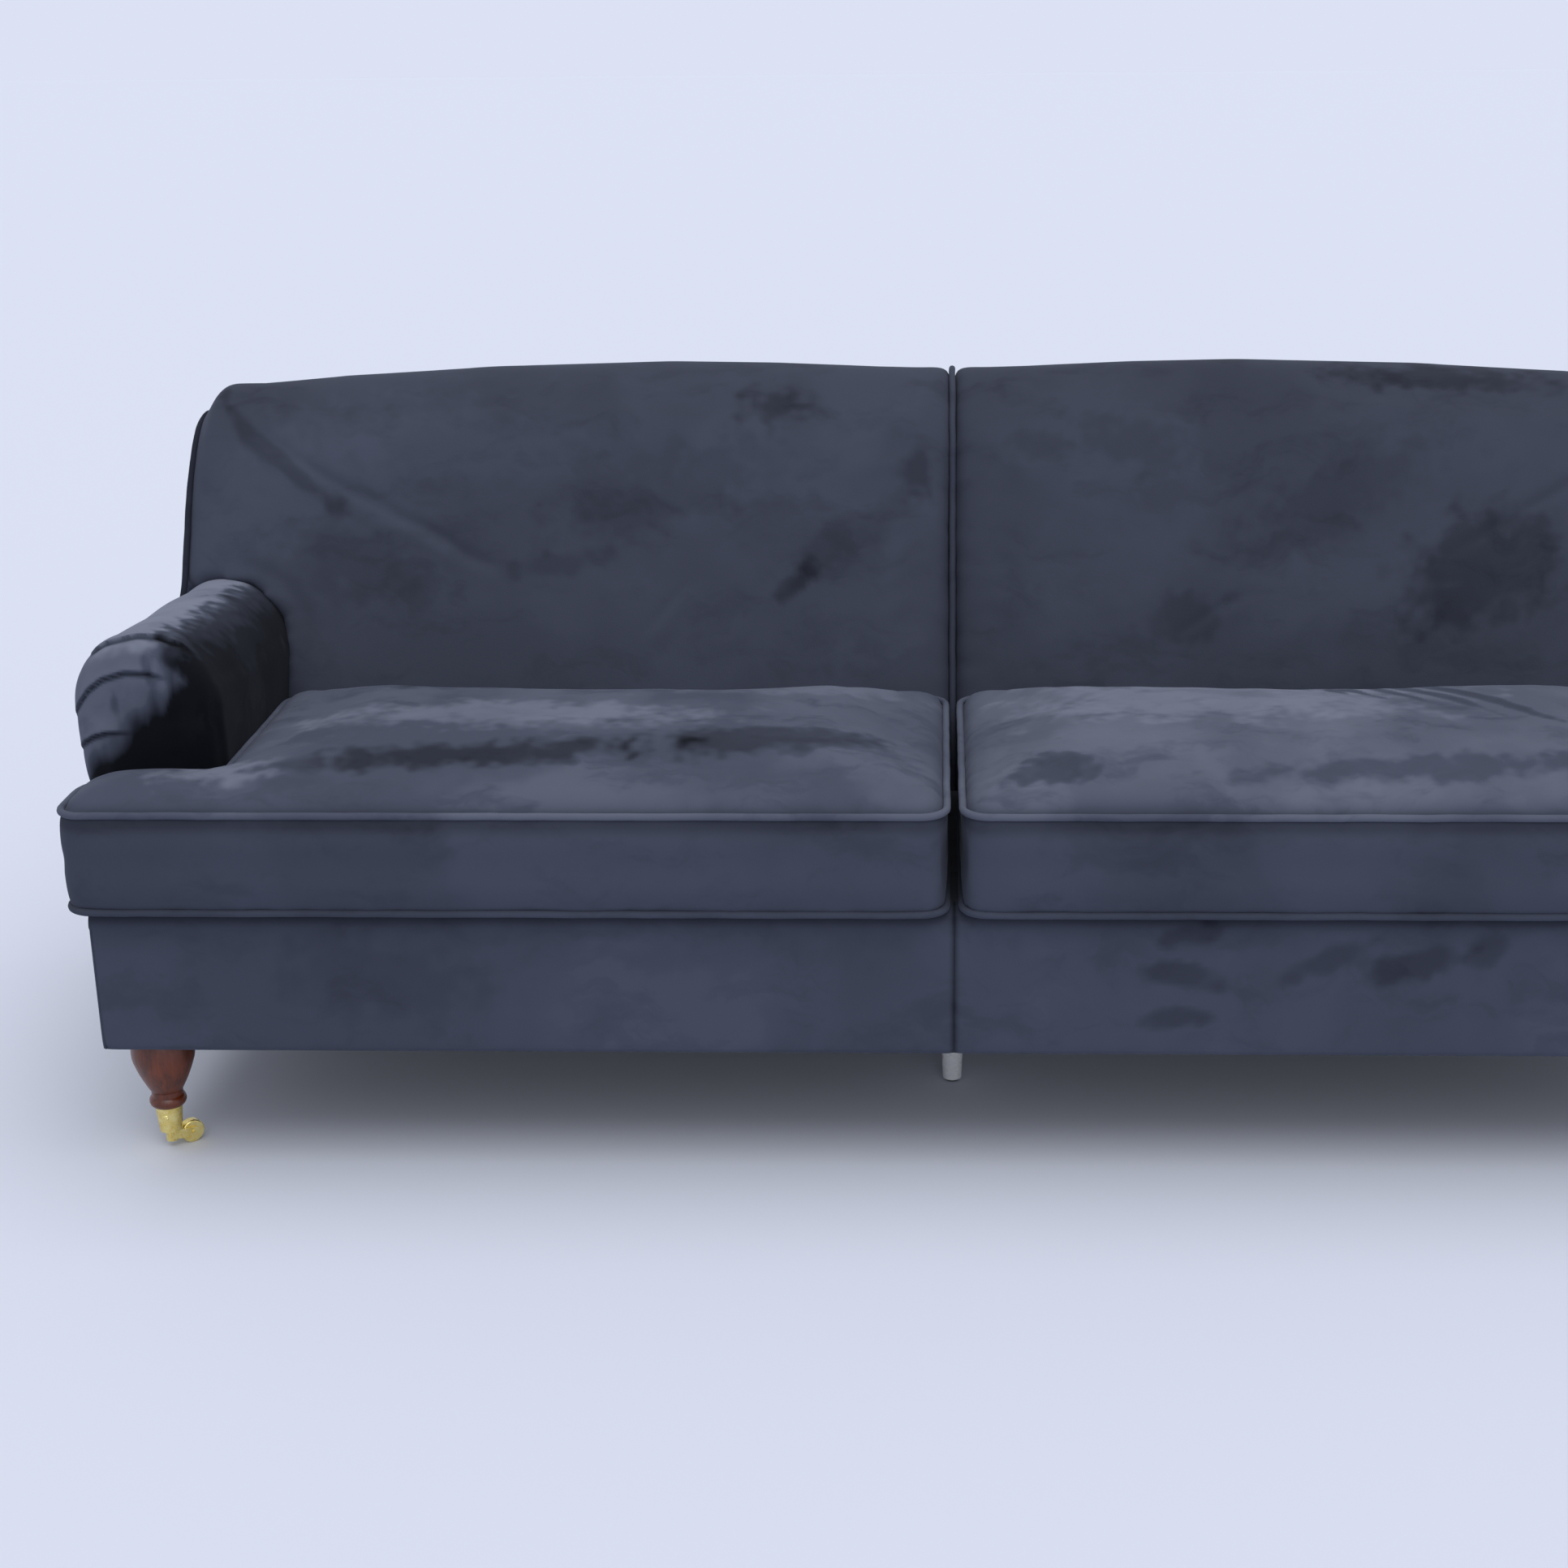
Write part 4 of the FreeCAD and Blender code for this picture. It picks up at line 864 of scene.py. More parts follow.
@dataclass
class BackPanel:
    """One half of the tight sprung back: velvet drawn over foam, rolled at the crest."""

    side: Side
    face_foot: float = 31 * MM
    deck: float = 350 * MM
    lean: float = 0.394
    cover: float = 2.4 * MM
    centre_pucker: float = 1.6 * MM
    marks: tuple[Mark, ...] = ()
    creases: tuple[tuple[float, float, float, float, float, float], ...] = ()
    tone: float = 0.43
    frame_depth: float = 68 * MM

    def depth(self, points: Points) -> Points:
        """Distance behind the leaning line of the back's face."""
        return points[:, 1] - self.face_foot - (points[:, 2] - self.deck) * self.lean

    def held(self, points: Points) -> Points:
        """Hold what lies on the frame, in the groove, on the deck and at the rear edge."""
        behind = (self.depth(points) > self.frame_depth) & (points[:, 2] < 0.80)
        edges = (np.abs(points[:, 0]) < 16 * MM) | (points[:, 2] < 0.37) | (points[:, 1] > 0.425)
        return (behind | edges).astype(float)

    def crease(self, points: Points) -> Points:
        """Depth of the drawn creases: start and end in the upright plane, depth and width."""
        total = np.zeros(len(points))
        for x0, z0, x1, z1, deep, wide in self.creases:
            start, run = np.array((x0, z0)), np.array((x1 - x0, z1 - z0))
            away = points[:, (0, 2)] - start
            share = away @ run / (run @ run)
            across = (away[:, 0] * run[1] - away[:, 1] * run[0]) / np.linalg.norm(run)
            across = across + 5 * MM * ripple(points, 60 * MM, 21)
            ends = ease(share, -0.15, 0.25) * (1 - ease(share, 0.7, 1.15))
            fold = np.exp(-(across / wide) ** 2) - 0.6 * np.exp(-((across - 2 * wide) / (1.6 * wide)) ** 2)
            total += deep * fold * ends
        return total

    def shaped(self, mesh: Mesh) -> None:
        """Bring the surface out to the cover, add the drawn folds and paint the nap with painted shade."""
        points, normals = points_of(mesh), normals_of(mesh)
        x, z = np.abs(points[:, 0]), points[:, 2]
        seen = 1 - ((self.depth(points) > self.frame_depth - 2 * MM) & (z < 0.79) & (x < 1.0))
        push = self.cover * seen
        front = seen * ease(-normals[:, 1], -0.1, 0.5)
        gather = ripple(points * (0.3, 1.0, 1.0), 26 * MM, 4) * np.exp(-x / (45 * MM))
        push += self.centre_pucker * gather * front
        push += 2.6 * MM * ripple(points, 190 * MM, 31 + self.side.value) * front
        push += 0.9 * MM * ripple(points, 70 * MM, 37) * front
        push -= self.crease(points) * front
        push += 3 * MM * ease(x, 1.045, 1.07) * ease(z, 0.66, 0.72)
        set_points(mesh, shouldered(points + normals * push[:, None]))
        tone = self.tone + 0.58 * marked(points, self.marks, Plane.UPRIGHT, 0.0)
        # Painted shade: the parts of the back that face upwards are drawn darker
        tone -= 0.08 * ease(normals[:, 2], 0.4, 0.9)
        tone -= 0.3 * np.exp(-x / (7 * MM))
        paint_nap_shade_and_light(mesh, tone)

    def build(self, form: Mesh) -> None:
        """Make the padded panel from the puffed form."""
        label = self.side.label
        mesh = own_copy(form, self.side)
        self.shaped(mesh)
        panel = finish_piece(label + "_inside_back", mesh, VELVET, "sofa",
                             [label + "_back_cover", label + "_back_pad"])


@dataclass
class BackPiping:
    """The cord in the centre groove and the cords at the two outer edges of the back."""

    pivot: tuple[float, float] = (330 * MM, 600 * MM)
    bins: int = 90

    def centreline(self, node: str, sink: float) -> Points:
        """Find the middle of a CAD cord from its own skin, in order along the cord.

        Args:
            node: CAD node of the cord.
            sink: How far the cord is drawn in.

        Returns:
            Points of the cord's path.
        """
        points = points_of(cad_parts[node].data)
        angle = np.arctan2(points[:, 2] - self.pivot[1], self.pivot[0] - points[:, 1])
        places = np.linspace(angle.min(), angle.max(), self.bins + 1)
        cell = np.clip(np.digitize(angle, places) - 1, 0, self.bins - 1)
        path = np.array([(points[cell == k].min(0) + points[cell == k].max(0)) / 2
                         for k in range(self.bins) if (cell == k).sum() > 5])
        for _ in range(6):
            path[1:-1] = 0.5 * path[1:-1] + 0.25 * (path[:-2] + path[2:])
        away = path[:, 1:] - np.array(self.pivot)
        path[:, 1:] -= sink * away / np.linalg.norm(away, axis=1)[:, None]
        return path

    def build(self) -> None:
        """Draw the three cords."""
        for node in ("centre_back_piping", "left_back_piping", "right_back_piping"):
            sink = 4 * MM if node.startswith("centre") else 0.0
            path = shouldered(self.centreline(node, sink))
            path[:, 0] -= 2.5 * MM * np.sign(np.round(path[:, 0], 1))
            cord = Piping(stray=1.4 * MM).along([path], closed=False)
            # Painted shade: the two outer edge cords are painted near black, as shade at the back's sides
            paint_nap_shade_and_light(cord, np.full(len(cord.vertices), 0.36 if sink else 0.12))
            finish_piece(node.replace("piping", "cord"), cord, VELVET, "sofa", [node])


@dataclass
class RolledArm:
    """One low rolled arm: velvet over wadding, pleated where it turns round the front of the roll."""

    side: Side
    front: float = -280 * MM
    cover: float = 2.4 * MM
    fold: float = 3.0 * MM
    hollow_sides: tuple[float, float] = (0.935, 1.045)
    hollow_top: float = 0.552
    hollow_front: float = -0.245
    pleats: tuple[tuple[tuple[float, float], ...], ...] = (
        ((1.062, 0.640), (1.043, 0.651), (1.004, 0.660), (0.984, 0.660), (0.956, 0.651), (0.940, 0.640)),
        ((1.095, 0.556), (1.073, 0.577), (1.064, 0.589), (1.043, 0.603), (1.013, 0.611), (0.985, 0.609),
         (0.965, 0.604)),
        ((1.095, 0.515), (1.075, 0.524), (1.063, 0.530), (1.041, 0.534), (1.012, 0.535)),
    )

    def inside(self, points: Points) -> Points:
        """Tell which points line the hollow that the arm's timber fills."""
        x, y, z = np.abs(points[:, 0]), points[:, 1], points[:, 2]
        near, far = self.hollow_sides
        return (x > near) & (x < far) & (z < self.hollow_top) & (y > self.hollow_front)

    def held(self, points: Points) -> Points:
        """Hold what lies on the frame, on the deck and behind the back."""
        return (self.inside(points) | (points[:, 1] > 0.22) | (points[:, 2] < 0.37)).astype(float)

    def folds(self, points: Points) -> tuple[Points, Points]:
        """Lay the pleats, each upper lap standing over the one below it.

        Args:
            points: Points of the arm.

        Returns:
            Height of the laps and depth of shade in their creases.
        """
        rise, shade = np.zeros(len(points)), np.zeros(len(points))
        x = np.abs(points[:, 0])
        over = points[:, 2] + 0.5 * (points[:, 1] - self.front)
        front = 1 - ease(points[:, 1], self.front + 35 * MM, self.front + 85 * MM)
        for line in self.pleats:
            corner = np.array(sorted(line))
            above = over - np.interp(x, corner[:, 0], corner[:, 1])
            ends = ease(x, corner[0, 0] - 4 * MM, corner[0, 0] + 26 * MM) * front
            ends *= 1 - ease(x, corner[-1, 0] - 8 * MM, corner[-1, 0] + 8 * MM)
            lap = np.where(above > 0, np.exp(-above / (20 * MM)), -0.9 * np.exp(above / (5 * MM)))
            rise += self.fold * lap * ends * (1 - 0.6 * ease(x, 1.065, 1.09))
            shade += np.exp(-((above + 1.5 * MM) / (3 * MM)) ** 2) * ends
        return rise, shade

    def shaped(self, mesh: Mesh) -> None:
        """Bring the surface out to the cover, lap the pleats and paint the nap with painted shade and
        painted light.
        """
        points, normals = points_of(mesh), normals_of(mesh)
        x, y, z = np.abs(points[:, 0]), points[:, 1], points[:, 2]
        inward = -normals[:, 0] * self.side.value
        seen = 1 - self.inside(points).astype(float)
        rise, shade = self.folds(points)
        push = (self.cover + rise) * seen
        push += 1.8 * MM * ripple(points, 90 * MM, 41 + self.side.value) * seen
        drag = ripple(points * (1.0, 0.25, 1.0), 22 * MM, 43) * np.exp(-np.abs(y - self.front - 0.09) / 0.06)
        push += 1.1 * MM * drag * seen
        set_points(mesh, points + normals * push[:, None])
        # Painted shade: the inner side is painted dark, with a ragged edge like brushed nap
        upright = points * (1.6, 1.6, 0.5)
        ragged = ripple(upright, 26 * MM, 47) + 0.25 * ripple(upright, 11 * MM, 49)
        dark = ease(inward + 0.25 * ragged, 0.08, 0.58)
        # Painted shade on the lower front of the roll, below the pleats
        below = 0.95 * (1.06 - x) - (z - 0.50) + 0.02 * ragged
        dark = np.maximum(dark, ease(below, -15 * MM, 30 * MM) * ease(-normals[:, 1], 0.2, 0.6))
        # Painted light: the top of the roll is painted paler where it faces up
        tone = 0.57 + 0.20 * ease(normals[:, 2] + 0.2 * ragged, 0.4, 0.9) - 0.62 * dark
        # Painted highlight on the raised laps and painted shade in the pleat creases
        tone += 0.06 * np.clip(rise / self.fold, 0, 1) - 0.42 * np.clip(shade, 0, 1)
        paint_nap_shade_and_light(mesh, tone)

    def build(self, form: Mesh) -> None:
        """Make the padded arm from the puffed form."""
        label = self.side.label
        mesh = own_copy(form, self.side)
        self.shaped(mesh)
        arm = finish_piece(label + "_rolled_arm", mesh, VELVET, "sofa",
                           [label + "_arm_cover", label + "_arm_pad"])


def thicken(mesh: Mesh, depth: float) -> Mesh:
    """Give an open sheet its thickness, behind its face.

    Args:
        mesh: Open mesh with its face outwards.
        depth: Thickness, in metres.

    Returns:
        The closed mesh.
    """
    piece = new_object("sheet", mesh)
    solid = piece.modifiers.new("thickness", "SOLIDIFY")
    solid.thickness = depth
    solid.offset = -1.0
    made = baked(piece)
    bpy.data.objects.remove(piece)
    return made


@dataclass
class FrontBorder:
    """One half of the velvet drawn over the front rail, sewn at the middle."""

    side: Side
    front: float = -410 * MM
    rear: float = -385.0 * MM
    half: float = 1047.4 * MM
    bottom: float = 165 * MM
    deck: float = 350 * MM
    roll: float = 22 * MM
    cloth: float = 1.6 * MM
    marks: tuple[Mark, ...] = ()

    def profile(self) -> Points:
        """Trace the border from under the rail, up its face and over the front roll."""
        rise = [(self.front, z) for z in np.linspace(self.bottom, self.deck - self.roll, 30)]
        turn = [(self.front + self.roll * (1 - math.cos(a)), self.deck - self.roll * (1 - math.sin(a)))
                for a in np.linspace(0, math.pi / 2, 9)[1:]]
        rear = [(self.rear + 6 * MM, self.deck), (self.rear + 12 * MM, self.deck)]
        return np.array(rise + turn + rear)

    def build(self) -> None:
        """Make the stretched half border."""
        line = self.profile()
        across = np.concatenate([np.linspace(0.3 * MM, 30 * MM, 16), np.linspace(36 * MM, self.half, 170)])
        rows = [np.stack([np.full(len(line), x * self.side.value), *line.T], 1) for x in across]
        mesh = grid_mesh("border", rows if self.side is Side.RIGHT else rows[::-1])
        points = points_of(mesh)
        x, z = np.abs(points[:, 0]), points[:, 2]
        inner = ease(z, self.bottom, self.bottom + 0.03) * ease(self.half - x, 0, 0.03)
        seam = np.exp(-(x / (5 * MM)) ** 2)
        pull = 1.5 * MM * ripple(points, 120 * MM, 51 + self.side.value) * inner
        pull += 0.8 * MM * ripple(points * (0.4, 1.0, 1.0), 40 * MM, 53) * np.exp(-x / (70 * MM)) * inner
        points[:, 1] -= np.where(z < self.deck - 1 * MM, pull - 2.2 * MM * seam, 0)
        hem = np.exp(-(z - self.bottom) / (6 * MM))
        points[:, 1] += 2.5 * MM * hem
        corner = np.exp(-(self.half - x) / (5 * MM))
        points[:, 1] += np.where(z < self.deck - self.roll, 3 * MM * corner, 0)
        set_points(mesh, points)
        mesh = thicken(mesh, self.cloth)
        points = points_of(mesh)
        tone = 0.47 + 0.65 * marked(points, self.marks, Plane.UPRIGHT, 0.0)
        tone -= 0.25 * np.exp(-(points[:, 0] / (4 * MM)) ** 2)
        # Painted shadow: the top of the rail border, under the cushions, is painted darker
        tone -= 0.12 * ease(points[:, 2], self.deck - 24 * MM, self.deck - 8 * MM)
        paint_nap_shade_and_light(mesh, tone)
        label = self.side.label
        nodes = [label + "_front_border"] + (["front_pad"] if self.side is Side.RIGHT else [])
        border = finish_piece(label + "_rail_border", mesh, VELVET, "sofa", nodes)


@dataclass
class OutsideArm:
    """The velvet panel on the outside of the base, running out to tuck under the arm's roll."""

    side: Side
    front: float = -410 * MM
    arm_front: float = -235 * MM
    rear: float = 339.6 * MM
    rear_slope: float = 0.1512
    bottom: float = 165 * MM
    deck: float = 350 * MM
    out: float = 1050 * MM
    tuck_out: float = 1078.4 * MM
    tuck: float = 419.6 * MM
    roll: float = 22 * MM
    cloth: float = 1.6 * MM

    def build(self) -> None:
        """Make the stretched panel in one sheet: base strip at the front, full height behind."""
        low = np.linspace(self.bottom, self.deck, 24)
        high = np.linspace(self.deck, self.tuck, 18)[1:]
        ahead = np.linspace(self.front, self.arm_front, 26)
        rows = []
        for y in ahead[:-1]:
            nose = max(self.front + self.roll - y, 0.0)
            top = self.deck - self.roll + math.sqrt(max(self.roll ** 2 - nose ** 2, 0.0))
            heights = self.bottom + (low - self.bottom) * (top - self.bottom) / (self.deck - self.bottom)
            rows.append(np.stack([np.full(len(low), self.out), np.full(len(low), y), heights], 1))
        strip = len(rows) * len(low)
        heights = np.concatenate([low, high])
        x = np.interp(heights, [self.deck, self.tuck], [self.out, self.tuck_out])
        shares = np.linspace(0, 1, 84)
        rear = self.rear + (heights - self.bottom) * self.rear_slope
        back = [np.stack([x, self.arm_front + s * (rear - self.arm_front), heights], 1) for s in shares]
        n, m = len(low), len(heights)
        last = strip - n
        faces = quads(len(rows), n)
        faces += [(last + c, last + c + 1, strip + c + 1, strip + c) for c in range(n - 1)]
        faces += quads(len(back), m, strip)
        points = np.concatenate(rows + back)
        inner = ease(points[:, 2], self.bottom, self.bottom + 40 * MM)
        inner *= ease(points[:, 1], self.front, self.front + 40 * MM)
        points[:, 0] += 1.6 * MM * ripple(points, 130 * MM, 61 + self.side.value) * inner
        points[:, 0] -= 2.5 * MM * np.exp(-(points[:, 2] - self.bottom) / (6 * MM))
        points[:, 0] -= 3 * MM * np.exp(-(points[:, 1] - self.front) / (5 * MM))
        points[:, 0] *= self.side.value
        mesh = bpy.data.meshes.new("outside")
        turned = faces if self.side is Side.LEFT else [tuple(reversed(face)) for face in faces]
        mesh.from_pydata(points.tolist(), [], turned)
        mesh = thicken(mesh, self.cloth)
        paint_nap_shade_and_light(mesh, np.full(len(mesh.vertices), 0.48))
        label = self.side.label
        panel = finish_piece(label + "_outside_panel", mesh, VELVET, "sofa",
                             [label + "_outside_arm"])
        depth, height = self.rear - self.front, self.tuck - self.bottom
        area = (self.deck - self.bottom) * (depth + 14 * MM)
        area += (self.tuck - self.deck) * (self.rear - self.arm_front + 38 * MM)


@dataclass
class OutsideBack:
    """One half of the velvet drawn down the back of the sofa, sewn at the middle."""

    side: Side
    rear: float = 342 * MM
    slope: float = 0.1512
    bottom: float = 165 * MM
    cloth: float = 1.6 * MM
    turn_in: float = 28 * MM
    end_lap: float = 18 * MM
    tuck: float = 15 * MM
    lower_edge: tuple[tuple[float, float], ...] = (
        (0.0, 0.165), (1.050, 0.165), (1.0505, 0.35), (1.0784, 0.420), (1.092, 0.525))
    upper_edge: tuple[tuple[float, float], ...] = (
        (0.003, 0.795), (0.014, 0.799), (0.045, 0.801), (0.120, 0.804), (0.250, 0.810), (0.400, 0.813),
        (0.650, 0.806), (0.870, 0.793), (1.000, 0.781), (1.040, 0.765), (1.064, 0.718), (1.078, 0.663),
        (1.086, 0.608), (1.092, 0.526))

    def build(self) -> None:
        """Make the stretched half."""
        across = np.unique(np.concatenate([np.linspace(0.3 * MM, 1.05, 130), np.linspace(1.05, 1.0915, 26)]))
        lower, upper = np.array(self.lower_edge), np.array(self.upper_edge)
        low = np.interp(across, lower[:, 0], lower[:, 1])
        top = np.interp(across, upper[:, 0], upper[:, 1])
        over = (self.turn_in + self.end_lap * ease(across, 0.80, 0.97)) * (1 - ease(across, 1.025, 1.05))
        shares = np.linspace(0, 1, 110)
        rows = []
        for x, z0, z1, up in zip(across, low, top, over):
            z = z0 + shares * (z1 + up - z0)
            tucked = self.tuck * np.clip((z - z1) / max(up, MM), 0, 1) ** 1.5
            y = self.rear + (z - self.bottom) * self.slope - tucked
            rows.append(np.stack([np.full(len(z), x), y, z], 1))
        points = np.concatenate(rows)
        x, z = points[:, 0], points[:, 2]
        inner = ease(1.0 - x, -0.05, 0.03) * ease(z, self.bottom, self.bottom + 0.05)
        points[:, 1] += 2.0 * MM * ripple(points, 160 * MM, 71 + self.side.value) * inner
        points[:, 1] -= 2.0 * MM * np.exp(-(x / (5 * MM)) ** 2)
        points[:, 1] -= 2.5 * MM * np.exp(-(z - self.bottom) / (6 * MM))
        points[:, 0] *= self.side.value
        points = shouldered(points)
        split = np.split(points, len(across))
        mesh = grid_mesh("outside", split[::-1] if self.side is Side.RIGHT else split)
        mesh = thicken(mesh, self.cloth)
        tone = np.full(len(mesh.vertices), 0.47)
        tone -= 0.25 * np.exp(-(points_of(mesh)[:, 0] / (4 * MM)) ** 2)
        paint_nap_shade_and_light(mesh, tone)
        label = self.side.label
        half = finish_piece(label + "_rear_panel", mesh, VELVET, "sofa", [label + "_outside_back"])


@dataclass
class DeckAndUnderside:
    """The twill deck under the cushions and the cambric under the frame."""

    deck: float = 350 * MM
    strip_front: float = -382 * MM
    strip_rear: float = -280.4 * MM
    rear: float = 40 * MM
    wide: float = 1047.6 * MM
    narrow: float = 916.6 * MM
    bottom: float = 165.2 * MM
    front: float = -407.6 * MM
    back: float = 339.6 * MM

    @staticmethod
    def flat(name: str, half: float, front: float, rear: float, height: float, sag: float) -> Mesh:
        """Make one rectangle of cloth with a slight sag.

        Args:
            name: Name of the mesh.
            half: Half its width.
            front: Its front edge.
            rear: Its rear edge.
            height: Its height.
            sag: How far its middle hangs.

        Returns:
            The open mesh, face up.
        """
        x, y = np.linspace(-half, half, 120), np.linspace(front, rear, 60)
        rows = [np.stack([x, np.full(len(x), d), np.full(len(x), height)], 1) for d in y]
        mesh = grid_mesh(name, rows)
        points = points_of(mesh)
        along = (2 * points[:, 1] - front - rear) / (rear - front)
        shape = (1 - (points[:, 0] / half) ** 4) * (1 - along ** 4)
        points[:, 2] -= shape * (sag + 0.4 * sag * ripple(points, 200 * MM, 81))
        set_points(mesh, points)
        return mesh

    def build(self) -> None:
        """Make the deck and the dust cover."""
        seat = self.flat("deck", self.narrow, self.strip_rear, self.rear, self.deck, 2 * MM)
        strip = self.flat("strip", self.wide, self.strip_front, self.strip_rear, self.deck, 0.0)
        shape = bmesh.new()
        shape.from_mesh(seat)
        shape.from_mesh(strip)
        shape.to_mesh(seat)
        shape.free()
        seat = thicken(seat, 1.2 * MM)
        deck = finish_piece("seat_deck", seat, DECK_TWILL, "sofa", ["deck_cloth", "seat_felt"])
        area = 2 * self.narrow * (self.rear - self.strip_rear)
        area += 2 * self.wide * (self.strip_rear - self.strip_front)
        under = self.flat("under", self.wide, self.front, self.back, self.bottom, 0.0)
        under.flip_normals()
        under = thicken(under, 0.8 * MM)
        cover = finish_piece("underside_cambric", under, CAMBRIC, "sofa", ["dust_cover"])


@dataclass
class CasterScrew:
    """The slotted screws that hold the brass cups to the front legs."""

    leg_x: float = 996 * MM
    leg_y: float = -345 * MM
    cup_radius: float = 16.2 * MM
    height: float = 47.5 * MM
    head: float = 3.6 * MM
    slot: float = 0.5 * MM

    def build(self) -> None:
        """Turn both domed heads and press a slot across them."""
        points, faces = [], []
        rings, around = 7, 24
        for way in (-1, 1):
            start = len(points)
            for ring in range(rings):
                share = ring / (rings - 1)
                radius = self.head * math.sin(share * math.pi / 2)
                rise = 1.5 * MM * math.cos(share * math.pi / 2)
                for spoke in range(around):
                    turn = spoke / around * math.tau
                    u, v = radius * math.cos(turn), radius * math.sin(turn)
                    dent = 0.8 * MM if abs(v - 0.3 * u) < self.slot else 0.0
                    y = self.leg_y - self.cup_radius - rise + dent
                    points.append((way * self.leg_x + u, y, self.height + v))
            for ring in range(rings - 1):
                for spoke in range(around):
                    a, b = start + ring * around + spoke, start + ring * around + (spoke + 1) % around
                    faces.append((a, b, b + around, a + around))
        mesh = bpy.data.meshes.new("screws")
        mesh.from_pydata(points, [], faces)
        weld(mesh, turn=True)
        mesh = thicken(mesh, 1.0 * MM)
        finish_piece("cup_screw_heads", mesh, BRASS, "sofa", ["cup_screws"])


class Hardware:
    """Legs, casters, springs and the hidden frame, kept from the CAD model and given their finishes."""

    def build(self) -> None:
        """Dress every CAD node that is still shown."""
        finishes = dict(CAD_FINISHES)
        for side in Side:
            finishes[side.label + "_front_leg"] = MAHOGANY
            finishes[side.label + "_rear_leg"] = MAHOGANY
            for piece in ("cup", "horn", "axle", "wheel"):
                finishes[f"{side.label}_caster_{piece}"] = BRASS
        for name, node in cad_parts.items():
            if node.hide_render:
                continue
            node.data.materials.clear()
            node.data.materials.append(finishes[name].material())
            LOG.info("%s: %s", name, finishes[name].name)


@dataclass
class Studio:
    """Pale floor, soft lamps and the camera at the photograph's angle."""

    place: tuple[float, float, float] = (-0.02085, -3.13391, 1.43168)
    pitch: float = 0.32557
    yaw: float = 0.03219
    roll: float = -0.00895
    lens: float = 56.186
    shift: float = -0.05
    reach: float = 30.0

    def floor(self) -> None:
        """Lay a wide plain pale floor."""
        edge = np.array((-self.reach, self.reach))
        rows = [np.array([(x, y, 0.0) for x in edge]) for y in edge]
        mesh = grid_mesh("studio_floor", rows)
        made = bpy.data.materials.new("painted plaster floor")
        made.use_nodes = True
        shader = made.node_tree.nodes["Principled BSDF"]
        Finish.settle(shader, {"Base Color": linear("#d9deed"), "Roughness": 0.8})
        mesh.materials.append(made)
        new_object("studio_floor", mesh)

    @staticmethod
    def sky() -> bpy.types.World:
        """Make soft light all round, with a pale backdrop where the camera sees past the floor."""
        world = bpy.data.worlds.new("studio")
        world.use_nodes = True
        tree = world.node_tree
        tree.nodes.clear()
        light = add_node(tree, "ShaderNodeBackground", {"Color": linear("#eef1f8"), "Strength": 0.45})
        backdrop = add_node(tree, "ShaderNodeBackground", {"Color": linear("#dce2f4"), "Strength": 1.0})
        ray = add_node(tree, "ShaderNodeLightPath")
        kinds = {0: ray.outputs["Is Camera Ray"], 1: ray.outputs["Is Glossy Ray"]}
        seen = add_node(tree, "ShaderNodeMath", kinds, operation="MAXIMUM")
        feeds = {0: seen.outputs[0], 1: light.outputs[0], 2: backdrop.outputs[0]}
        both = add_node(tree, "ShaderNodeMixShader", feeds)
        add_node(tree, "ShaderNodeOutputWorld", {"Surface": both.outputs[0]})
        return world

    @staticmethod
    def lamp(name: str, place: tuple[float, float, float], strength: float, spread: float) -> None:
        """Hang one soft lamp far above that shines evenly on everything.

        Args:
            name: Name of the lamp.
            place: Where it hangs; it faces the middle of the floor.
            strength: Light on a surface that faces it, in watts for each square metre.
            spread: Width of the lamp as seen from the sofa, in degrees.
        """
        data = bpy.data.lights.new(name, "SUN")
        data.energy = strength
        data.angle = math.radians(spread)
        lamp = bpy.data.objects.new(name, data)
        lamp.location = place
        lamp.rotation_euler = (-Vector(place)).to_track_quat("-Z", "Y").to_euler()
        bpy.context.scene.collection.objects.link(lamp)

    def build(self) -> None:
        """Set the floor, the lamps, the sky and the camera."""
        self.floor()
        self.lamp("overhead", (0.4, -0.6, 3.4), 1.7, 70.0)
        self.lamp("front", (0.9, -3.2, 2.4), 0.5, 50.0)
        scene = bpy.context.scene
        scene.world = self.sky()
        data = bpy.data.cameras.new("camera")
        data.lens = self.lens
        data.sensor_width = 36.0
        data.shift_x = self.shift
        data.clip_end = 60.0
        camera = bpy.data.objects.new("camera", data)
        camera.location = self.place
        turn = Euler((math.pi / 2 - self.pitch, 0.0, self.yaw)).to_matrix()
        camera.rotation_euler = (turn @ Euler((0.0, 0.0, self.roll)).to_matrix()).to_euler()
        scene.collection.objects.link(camera)
        scene.camera = camera
        scene.view_settings.view_transform = "Standard"


LEFT_SEAT = (Mark(-0.62, -0.04, 0.13, 0.035, -6, -0.30), Mark(-0.60, -0.33, 0.22, 0.030, 6, -0.32),
             Mark(-0.24, -0.29, 0.14, 0.040, 8, -0.26), Mark(-0.55, -0.20, 0.26, 0.050, 0, 0.14),
             Mark(-0.88, -0.36, 0.10, 0.035, 0, 0.16), Mark(-0.20, -0.06, 0.16, 0.04, 10, 0.08))
RIGHT_SEAT = (Mark(0.46, -0.05, 0.09, 0.010, -58, -0.26), Mark(0.50, -0.07, 0.10, 0.009, -56, -0.26),
              Mark(0.545, -0.08, 0.11, 0.010, -55, -0.24), Mark(0.60, -0.10, 0.11, 0.011, -52, -0.24),
              Mark(0.66, -0.12, 0.12, 0.012, -50, -0.22), Mark(0.36, -0.12, 0.28, 0.12, 0, 0.12),
              Mark(0.12, -0.36, 0.05, 0.03, 20, -0.22), Mark(0.55, -0.36, 0.22, 0.03, 4, -0.10))
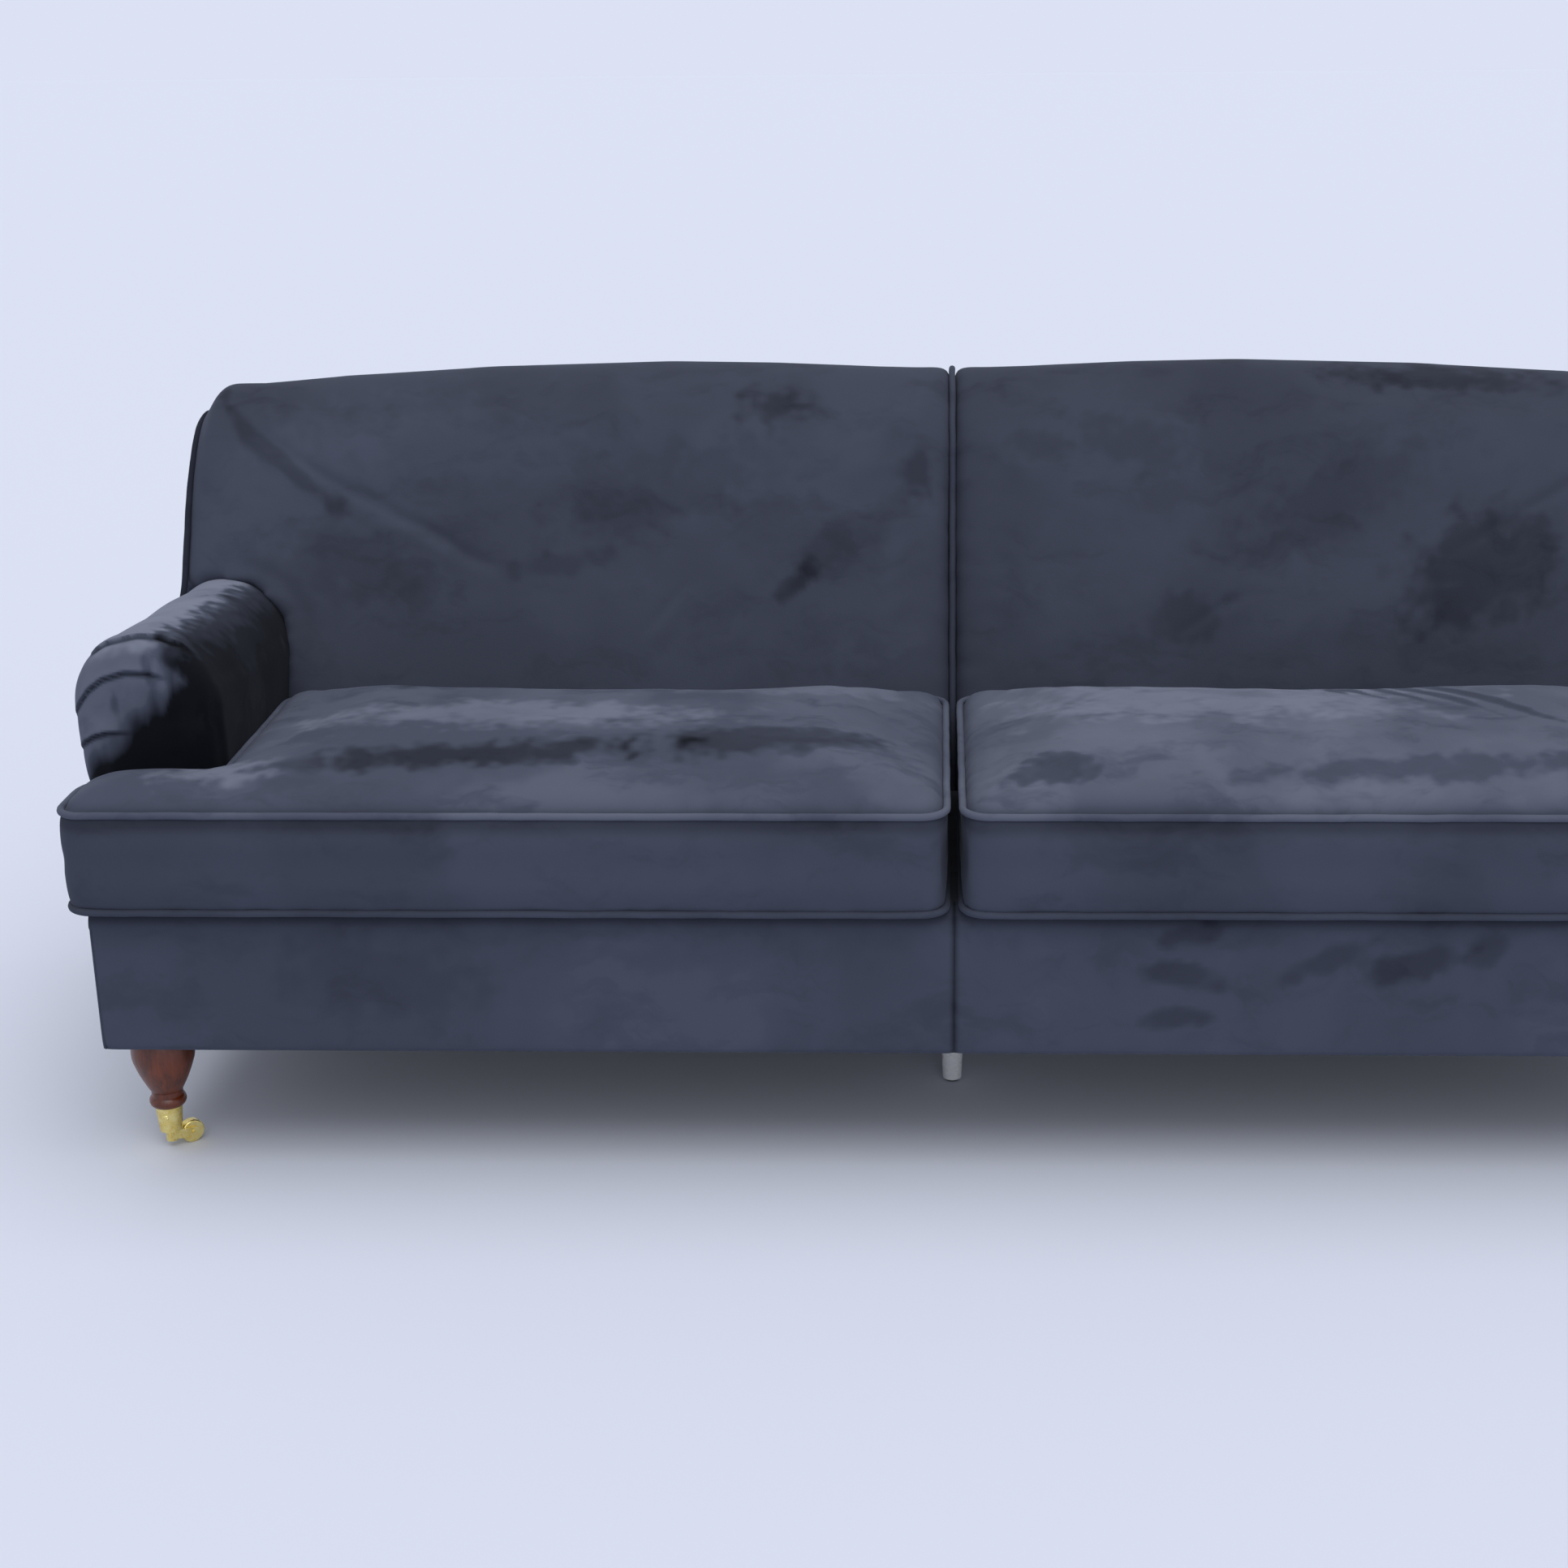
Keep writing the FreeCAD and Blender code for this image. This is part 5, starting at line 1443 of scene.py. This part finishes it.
LEFT_BACK = (Mark(-0.93, 0.775, 0.13, 0.014, -33, -0.26), Mark(-0.244, 0.842, 0.055, 0.020, -4, -0.30),
             Mark(-0.05, 0.765, 0.025, 0.035, 0, -0.26), Mark(-0.216, 0.624, 0.040, 0.016, 38, -0.28),
             Mark(-0.40, 0.74, 0.17, 0.055, 14, -0.13), Mark(-0.53, 0.65, 0.08, 0.018, 10, -0.16),
             Mark(-0.82, 0.65, 0.10, 0.055, -10, -0.12), Mark(-0.72, 0.80, 0.25, 0.05, -4, 0.10),
             Mark(-0.14, 0.68, 0.10, 0.03, 30, -0.14))
RIGHT_BACK = (Mark(0.68, 0.868, 0.17, 0.013, -3, -0.26), Mark(0.72, 0.64, 0.12, 0.075, 18, -0.26),
              Mark(0.32, 0.58, 0.06, 0.030, 10, -0.18), Mark(0.24, 0.80, 0.08, 0.035, -12, -0.14),
              Mark(0.50, 0.72, 0.16, 0.045, 24, -0.12), Mark(0.12, 0.79, 0.05, 0.02, 0, -0.12))
LEFT_RAIL = (Mark(-0.70, 0.26, 0.13, 0.06, -14, -0.10), Mark(-0.25, 0.30, 0.18, 0.03, 4, -0.06))
RIGHT_RAIL = (Mark(0.28, 0.32, 0.05, 0.016, 10, -0.24), Mark(0.27, 0.27, 0.06, 0.018, -8, -0.28),
              Mark(0.45, 0.29, 0.06, 0.018, 26, -0.24), Mark(0.55, 0.285, 0.07, 0.022, 14, -0.30),
              Mark(0.63, 0.30, 0.03, 0.03, 0, -0.22), Mark(0.27, 0.215, 0.05, 0.013, 4, -0.26))
LEFT_CREASES = ((-0.95, 0.800, -0.62, 0.640, 3.2 * MM, 9 * MM),
                (-0.42, 0.560, -0.36, 0.620, 2.0 * MM, 6 * MM))
RIGHT_CREASES = ((0.95, 0.800, 0.66, 0.650, 2.4 * MM, 9 * MM), (0.30, 0.555, 0.40, 0.610, 1.6 * MM, 7 * MM))


def main() -> None:
    """Build the sofa's looks over the frame."""
    logging.basicConfig(level=logging.INFO, format="%(asctime)s %(name)s %(message)s")
    cushions = [SeatCushion(Side.LEFT, marks=LEFT_SEAT),
                SeatCushion(Side.RIGHT, marks=RIGHT_SEAT, fullness=12 * MM, top_painted_light=0.10)]
    seat_form = Padding(voxel=8 * MM, cap=10 * MM).puff(
        "right_cushion_core", cushions[1].held, cushions[1].room)
    for cushion in cushions:
        cushion.build(seat_form)
    panels = [BackPanel(Side.LEFT, marks=LEFT_BACK, creases=LEFT_CREASES),
              BackPanel(Side.RIGHT, marks=RIGHT_BACK, creases=RIGHT_CREASES, tone=0.40)]
    back_form = Padding(voxel=11 * MM, cap=5 * MM, smoothing=10).puff(
        "right_back_pad", panels[1].held, lambda points: np.ones(len(points)))
    for panel in panels:
        panel.build(back_form)
    BackPiping().build()
    arms = [RolledArm(Side.LEFT), RolledArm(Side.RIGHT)]
    arm_form = Padding(voxel=6.5 * MM, cap=4 * MM, smoothing=10).puff(
        "right_arm_pad", arms[1].held, lambda points: np.ones(len(points)))
    for arm in arms:
        arm.build(arm_form)
    FrontBorder(Side.LEFT, marks=LEFT_RAIL).build()
    FrontBorder(Side.RIGHT, marks=RIGHT_RAIL).build()
    for side in Side:
        OutsideArm(side).build()
        OutsideBack(side).build()
    DeckAndUnderside().build()
    CasterScrew().build()
    Hardware().build()
    Studio().build()


if __name__ == "__main__":
    main()
